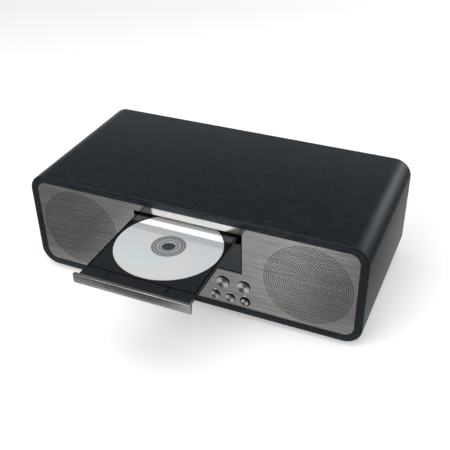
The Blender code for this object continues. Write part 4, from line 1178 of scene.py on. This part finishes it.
@dataclass
class Keys(Maker):
    """Ten turned metal keys and the small marks printed over them."""

    rim: float = 0.45 * MM
    rim_steps: int = 4
    rim_share: float = 0.6  # of the rim's depth, behind which a key is painted matt black as shade
    dish: float = 0.35 * MM
    dish_steps: Tuple[float, ...] = (0.2, 0.4, 0.6, 0.8)
    barrel_share: float = 0.5  # of the key's depth, where its barrel gives way to a thin stem
    stem_share: float = 0.4  # of the key's radius
    steps: int = 64
    # Painted shade: a matt black ring with no gloss sits in the power key's gap, where the gap is
    # dark.
    well: Finish = Moulded("key_well", (0.0008, 0.0008, 0.001), 0.9, specular=0.0)
    # Painted shade: each key's barrel is matt black with no gloss, for the dark side wall seen
    # round the key.
    barrel: Finish = Moulded("key_barrel", (0.0008, 0.0008, 0.001), 0.9, specular=0.0)
    mark_size: float = 1.25 * MM
    small_mark: float = 0.8  # of the usual size
    mark_gap: float = 2.0 * MM
    power_lift: float = 1.6 * MM
    dot_sides: int = 24
    well_inner: float = 4.85 * MM
    well_outer: float = 6.42 * MM
    well_sink: float = 0.25 * MM
    well_from_back: float = 0.05 * MM
    ink_gap: float = 0.01 * MM
    ink_thickness: float = 0.03 * MM

    def build(self) -> None:
        """Builds every key, the power key's black ring of painted shade and the marks over the
        keys.
        """
        for node in KEY_NODES:
            self.build_key(node)
        self.build_shade_well()
        self.build_marks()

    def build_shade_well(self) -> None:
        """A matt black ring, painted shade, that fills the wide gap round the power key."""
        key, panel = Box.of("power_key"), Box.of("front_panel")
        front, deep = self.well_sink, panel.size.y - self.well_from_back
        profile = [
            (self.well_inner, front),
            (self.well_outer, front),
            (self.well_outer, deep),
            (self.well_inner, deep),
        ]
        bm = bmesh.new()
        centre = Vector((key.centre.x, panel.low.y, key.centre.z))
        turned(bm, profile, centre, Vector((0, 1, 0)), self.steps)
        self.piece(bm, "power_key_shade_well", [self.well], "cabinet", Slot.BLACK_PLASTIC)

    def mark(self, bm: BMesh, x: float, z: float, sides: int, size: float, turn: float) -> None:
        """Adds one printed polygon, raised by the ink's thickness.

        Args:
            bm: The mesh to add to.
            x: The mark's middle, across the panel.
            z: The mark's middle, up the panel.
            sides: Its sides.
            size: The radius of its corners.
            turn: The angle that it is turned by.
        """
        spot = upright((x, Box.of("front_panel").low.y - self.ink_gap, z))
        made = bmesh.ops.create_circle(
            bm,
            cap_ends=True,
            segments=sides,
            radius=size,
            matrix=spot @ Matrix.Rotation(turn, 4, "Z"),
        )
        drawn = bmesh.ops.extrude_face_region(bm, geom=made["verts"][0].link_faces[:])
        bmesh.ops.translate(bm, vec=(0, -self.ink_thickness, 0), verts=new_verts(drawn["geom"]))

    def build_marks(self) -> None:
        """Plain play, stop, skip and power marks."""
        bm = bmesh.new()
        size, small = self.mark_size, self.mark_size * self.small_mark
        for node in KEY_NODES:
            box = Box.of(node)
            x, z = box.centre.x, box.high.z + self.mark_gap
            if "big_outer" in node:
                self.mark(bm, x, z, 3, size, QUARTER_TURN)
            elif "small_inner" in node:
                self.mark(bm, x, z, 4, size, QUARTER_TURN / 2)
            elif "small_middle" in node:
                for aside in (-small, small):
                    self.mark(bm, x + aside, z, 3, small, QUARTER_TURN)
            elif node == "power_key":
                self.mark(bm, x, z + self.power_lift, self.dot_sides, small, 0.0)
        self.piece(bm, "key_marks", [PaintedMark("printed_ink")], "cabinet", Slot.KEY_METAL)

    def build_key(self, node: str) -> None:
        """A dished face inside a rolled rim, on a plain barrel whose side is painted matt black as
        shade.

        Args:
            node: The CAD key.
        """
        box = Box.of(node)
        radius, depth = box.size.x / 2, box.size.y
        face, stem, barrel = radius - self.rim, radius * self.stem_share, depth * self.barrel_share
        profile = [(0.0, self.dish)]
        profile += [(face * share, self.dish * (1 - share * share)) for share in self.dish_steps]
        profile.append((face, 0.0))
        profile += quarter_round(face, self.rim, self.rim_steps)
        profile += [(radius, barrel), (stem, barrel), (stem, depth), (0.0, depth)]
        bm = bmesh.new()
        front = Vector((box.centre.x, box.low.y, box.centre.z))
        turned(bm, profile, front, Vector((0, 1, 0)), self.steps)
        # Faces of the barrel behind the rim take the painted shade.
        for side in bm.faces:
            away = max(math.hypot(v.co.x - front.x, v.co.z - front.z) for v in side.verts)
            behind = min(v.co.y for v in side.verts) > front.y + self.rim * self.rim_share
            side.material_index = 1 if behind and away > radius / 2 else 0
        spun = SpunMetal("spun_" + node, tuple(front))
        self.piece(bm, "turned_" + node, [spun, self.barrel], node, Slot.KEY_METAL, [node])


# --------------------------------------------------------------------------- drawer


@dataclass
class Drawer(Maker):
    """The drawer's front strip and the disc that lies in it."""

    strip_rounding: float = 0.55 * MM
    strip_steps: int = 3
    disc_hole_radius: float = 7.5 * MM
    disc_rounding: float = 0.25 * MM
    disc_steps: int = 160
    stacking_radius: float = 17.2 * MM
    step_depth: float = 0.15 * MM
    step_edges: Tuple[float, ...] = (0.9 * MM, 0.6 * MM, -0.2 * MM, -0.5 * MM)
    flat_margin: float = 1.3 * MM  # keeps the shading flat up to the step
    groove_width: float = 1.4 * MM
    groove_depth: float = 0.8 * MM
    groove_x: float = 61.35 * MM
    groove_from_strip: float = 21 * MM
    groove_end: float = 10 * MM
    notch_x: float = 34 * MM
    notch_length: float = 10 * MM
    # Painted shadow: matt black blocks fill the tray's grooves up to its top, and a thin black
    # line lies behind the strip.
    lining_lift: float = 0.02 * MM
    groove_shadow_rounding: float = 0.02 * MM
    shadow_line_width: float = 1.0 * MM
    shadow_line_height: float = 0.25 * MM
    shadow_line_gap: float = 0.01 * MM
    shadow_line_rounding: float = 0.05 * MM
    lining: Finish = Moulded("groove_lining", (0.0012, 0.0012, 0.0014), 0.95, specular=0.02)

    def build(self) -> None:
        """Builds the strip, the painted shadows in the tray's grooves and behind the strip, and
        the disc.
        """
        self.build_strip()
        self.build_painted_shadows()
        self.build_disc()

    def build_painted_shadows(self) -> None:
        """Matt black blocks that paint shadow in the tray's grooves, and a thin black line that
        paints the shadow behind the strip.
        """
        tray, strip = Box.of("disc_tray"), Box.of("tray_strip")
        half, top = self.groove_width / 2, tray.high.z - self.groove_depth
        low, high = top + self.lining_lift, tray.high.z + self.lining_lift
        across = strip.low.y + self.groove_from_strip
        runs = [((-self.groove_x - half, across - half), (self.groove_x + half, across + half))]
        for side in (-1, 1):
            x, notch = side * self.groove_x, side * self.notch_x
            runs.append(((x - half, across + half), (x + half, tray.high.y - self.groove_end)))
            near = across - self.notch_length
            runs.append(((notch - half, near), (notch + half, across - half)))
        bm = bmesh.new()
        for (x0, y0), (x1, y1) in runs:
            run = Box(Vector((x0, y0, low)), Vector((x1, y1, high)))
            soft_block(bm, run, self.groove_shadow_rounding, 1)
        # The thin black line behind the strip paints the shadow of the gap there.
        level, back = tray.high.z, tray.low.y + self.shadow_line_width
        shadow_line = Box(
            Vector((tray.low.x, tray.low.y, level + self.shadow_line_gap)),
            Vector((tray.high.x, back, level + self.shadow_line_height)),
        )
        soft_block(bm, shadow_line, self.shadow_line_rounding, 2)
        self.piece(bm, "tray_groove_painted_shadow", [self.lining], "tray", Slot.BLACK_PLASTIC)

    def build_strip(self) -> None:
        """A brushed bar with softened edges."""
        bm = bmesh.new()
        soft_block(bm, Box.of("tray_strip"), self.strip_rounding, self.strip_steps)
        brushed = Slot.BRUSHED_PANEL
        self.piece(bm, "drawer_strip", [brushed.value], "tray", brushed, ["tray_strip"])

    def build_disc(self) -> None:
        """A thin turned ring with soft edges and a shallow step at the hub."""
        box = Box.of("compact_disc")
        inner, outer = self.disc_hole_radius, box.size.x / 2
        thick, soft, hub = box.size.z, self.disc_rounding, self.stacking_radius
        heights = (thick, thick - self.step_depth, thick - self.step_depth, thick)
        step = [(hub + edge, height) for edge, height in zip(self.step_edges, heights)]
        profile = [
            (inner, soft),
            (inner + soft, 0.0),
            (outer - soft, 0.0),
            (outer, soft),
            (outer, thick - soft),
            (outer - soft, thick),
            (hub + self.flat_margin, thick),
            *step,
            (hub - self.flat_margin, thick),
            (inner + soft, thick),
            (inner, thick - soft),
        ]
        bm = bmesh.new()
        base = Vector((box.centre.x, box.centre.y, box.low.z))
        turned(bm, profile, base, Vector((0, 0, 1)), self.disc_steps)
        finish = DiscSilver("disc_face", tuple(base))
        self.piece(bm, "silver_disc", [finish], "disc", Slot.DISC_SILVER, ["compact_disc"])


# --------------------------------------------------------------------------- carried-over nodes


@dataclass
class CarriedNodes:
    """The CAD nodes whose shape stays, with a real finish on each."""

    glossy_tray: Finish = Moulded(
        "tray_lacquer", (0.0045, 0.0066, 0.0085), 0.14, depth=0.002 * MM, specular=0.4
    )

    def build(self) -> None:
        """Dresses every CAD node that is still shown."""
        for name, node in sorted(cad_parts.items()):
            if node.hide_render:
                continue
            for index, material in enumerate(node.data.materials):
                finish = self.finish_of(name, material.name)
                node.data.materials[index] = finish.material()
            LOG.info("%s: carried over in %s", name, node.data.materials[0].name)

    def finish_of(self, node: str, slot_name: str) -> Finish:
        """Finds the finish for one node.

        Args:
            node: The CAD node.
            slot_name: The name of its packed material.

        Returns:
            The finish.
        """
        if node == "disc_tray":
            return self.glossy_tray
        return Slot[slot_name.split(".")[0].upper()].value


# --------------------------------------------------------------------------- studio


def direction(azimuth: float, elevation: float) -> Vector:
    """The way out to a point round the cabinet.

    Args:
        azimuth: The angle from straight in front towards the right.
        elevation: The angle above level.

    Returns:
        A vector with a length of 1.
    """
    level = math.cos(elevation)
    return Vector((
        math.sin(azimuth) * level, -math.cos(azimuth) * level, math.sin(elevation)
    ))


@dataclass(frozen=True)
class Softbox:
    """One soft light, aimed at the cabinet."""

    name: str
    azimuth: float
    elevation: float
    distance: float
    size: Tuple[float, float]
    radiance: float

    def build(self, target: Vector) -> None:
        """Hangs the light.

        Args:
            target: The point that it is aimed at.
        """
        light = bpy.data.lights.new(self.name, "AREA")
        light.shape = "RECTANGLE"
        light.size, light.size_y = self.size
        light.energy = self.radiance * math.pi * self.size[0] * self.size[1]
        made = bpy.data.objects.new(self.name, light)
        bpy.context.scene.collection.objects.link(made)
        turn, rise = math.radians(self.azimuth), math.radians(self.elevation)
        way = direction(turn, rise)
        made.location = target + way * self.distance
        made.rotation_euler = way.to_track_quat("Z", "Y").to_euler()


def lay_sheet(name: str, matrix: Matrix, material: bpy.types.Material) -> bpy.types.Object:
    """Lays a flat sheet that is part of the stage.

    Args:
        name: Its name.
        matrix: What makes it out of a level square with sides of a metre.
        material: Its paint.

    Returns:
        The sheet.
    """
    bm = bmesh.new()
    bmesh.ops.create_grid(bm, x_segments=1, y_segments=1, size=0.5, matrix=matrix)
    mesh = bpy.data.meshes.new(name)
    bm.to_mesh(mesh)
    bm.free()
    mesh.materials.append(material)
    sheet = bpy.data.objects.new(name, mesh)
    bpy.context.scene.collection.objects.link(sheet)
    return sheet


@dataclass(frozen=True)
class Flag:
    """One dark card on the floor that only glossy surfaces see."""

    name: str
    across: Tuple[float, float]
    along: Tuple[float, float]
    grey: float
    lift: float = 2 * MM
    fade: float = 0.10
    roughness: float = 0.9
    unevenness: float = 0.1

    def build(self) -> None:
        """Lays the card, with edges that fade out."""
        wide = (self.across[1] - self.across[0]) / 2
        deep = (self.along[1] - self.along[0]) / 2
        x_middle, y_middle = sum(self.across) / 2, sum(self.along) / 2
        graph = Graph(self.name + "_card")
        x, y, _ = graph.parts(graph.place(centre=(x_middle, y_middle, 0.0)))
        solid = graph.ramp(abs(x), wide - self.fade, wide, 1.0, 0.0)
        solid = solid * graph.ramp(abs(y), deep - self.fade / 2, deep, 1.0, 0.0)
        tone = 1 - self.unevenness / 2 + graph.cloud(3) * self.unevenness
        graph.surface(
            Base_Color=graph.scaled((self.grey,) * 3, tone),
            Roughness=self.roughness,
            Alpha=solid,
        )
        spot = Matrix.Translation((x_middle, y_middle, self.lift))
        size = Matrix.Diagonal((2 * wide, 2 * deep, 1, 1))
        card = lay_sheet(self.name, spot @ size, graph.material)
        card.visible_camera = False
        card.visible_diffuse = False
        card.visible_shadow = False


@dataclass
class Studio:
    """Floor, surroundings, lights and camera."""

    origin: Vector = field(default_factory=lambda: Vector((0.0, 0.06375, 0.006)))
    pivot_height: float = 0.060
    distance: float = 0.9353
    azimuth: float = math.radians(24.31)
    elevation: float = math.radians(33.38)
    target: Vector = field(default_factory=lambda: Vector((0.0027, 0.0, 0.046)))
    roll: float = math.radians(-1.04)
    lens: float = 59.22
    sensor: float = 36.0
    near: float = 0.01
    floor_side: float = 12.0
    floor_grey: float = 0.86
    floor_unevenness: float = 0.02
    floor_roughness: float = 0.9
    floor_specular: float = 0.1
    floor_glow: float = 0.30
    room: Stops = (
        (0.0, (1.0, 1.0, 1.0)),
        (0.12, (0.8, 0.8, 0.8)),
        (0.36, (0.31, 0.32, 0.33)),
        (1.0, (0.27, 0.28, 0.29)),
    )
    flags: Tuple[Flag, ...] = (
        Flag("flag_left", (-1.2, -0.10), (-1.4, -0.03), 0.38),
        Flag("flag_front", (-0.28, 0.06), (-0.72, -0.22), 0.18),
        Flag("flag_front_right", (0.07, 1.0), (-1.0, -0.03), 0.52),
        Flag("flag_right", (0.21, 1.4), (-0.05, 1.6), 0.10),
    )
    lights: Tuple[Softbox, ...] = (
        Softbox("front_softbox", -22.0, 36.0, 1.5, (1.2, 0.8), 4.2),
        Softbox("rear_right_softbox", 144.0, 22.0, 1.6, (0.8, 0.5), 5.0),
        Softbox("overhead_softbox", 0.0, 82.0, 1.8, (1.8, 1.4), 2.0),
    )

    def build(self) -> None:
        """Sets the stage."""
        bpy.context.scene.view_settings.view_transform = "Standard"
        self.build_floor()
        for flag in self.flags:
            flag.build()
        self.build_surroundings()
        for light in self.lights:
            light.build(self.origin + Vector((0, 0, self.pivot_height)))
        self.build_camera()

    def build_floor(self) -> None:
        """A plain pale floor."""
        graph = Graph("floor_paint")
        tone = 1 - self.floor_unevenness / 2 + graph.cloud(3) * self.floor_unevenness
        graph.surface(
            Base_Color=graph.scaled((self.floor_grey,) * 3, tone),
            Roughness=self.floor_roughness,
            Specular_IOR_Level=self.floor_specular,
            Emission_Color=(1.0, 1.0, 1.0),
            Emission_Strength=self.floor_glow,
        )
        size = Matrix.Diagonal((self.floor_side, self.floor_side, 1, 1))
        lay_sheet("floor", size, graph.material)

    def build_surroundings(self) -> None:
        """A pale room, darker overhead, and plain white where the camera looks past the floor."""
        world = bpy.data.worlds.new("surroundings")
        bpy.context.scene.world = world
        world.use_nodes = True
        tree = world.node_tree
        background = tree.nodes["Background"]
        output = tree.nodes["World Output"]
        coordinates = tree.nodes.new("ShaderNodeTexCoord")
        split = tree.nodes.new("ShaderNodeSeparateXYZ")
        tree.links.new(coordinates.outputs["Generated"], split.inputs[0])
        ramp = tree.nodes.new("ShaderNodeValToRGB")
        Graph.set_stops(ramp.color_ramp, self.room)
        tree.links.new(split.outputs[2], ramp.inputs[0])
        tree.links.new(ramp.outputs[0], background.inputs[0])
        white = tree.nodes.new("ShaderNodeBackground")
        white.inputs[0].default_value = (1.0, 1.0, 1.0, 1.0)
        path = tree.nodes.new("ShaderNodeLightPath")
        mixed = tree.nodes.new("ShaderNodeMixShader")
        tree.links.new(path.outputs["Is Camera Ray"], mixed.inputs[0])
        tree.links.new(background.outputs[0], mixed.inputs[1])
        tree.links.new(white.outputs[0], mixed.inputs[2])
        tree.links.new(mixed.outputs[0], output.inputs["Surface"])

    def build_camera(self) -> None:
        """Places the camera."""
        lens = bpy.data.cameras.new("camera")
        lens.lens = self.lens
        lens.sensor_width = self.sensor
        lens.clip_start = self.near
        camera = bpy.data.objects.new("camera", lens)
        bpy.context.scene.collection.objects.link(camera)
        way = direction(self.azimuth, self.elevation)
        place = Vector((0, 0, self.pivot_height)) + way * self.distance
        back = (place - self.target).normalized()
        right = Vector((-back.y, back.x, 0)).normalized()
        above = back.cross(right)
        across = right * math.cos(self.roll) + above * math.sin(self.roll)
        upward = above * math.cos(self.roll) - right * math.sin(self.roll)
        turn = Matrix((across, upward, back)).transposed().to_4x4()
        camera.matrix_world = Matrix.Translation(place + self.origin) @ turn
        bpy.context.scene.camera = camera


def main() -> None:
    """Builds the sub-assemblies in order, then the studio."""
    logging.basicConfig(level=logging.INFO, format="%(name)s %(message)s")
    for assembly in (Cabinet(), FrontPanel(), Keys(), Drawer(), CarriedNodes(), Studio()):
        assembly.build()


if __name__ == "__main__":
    main()
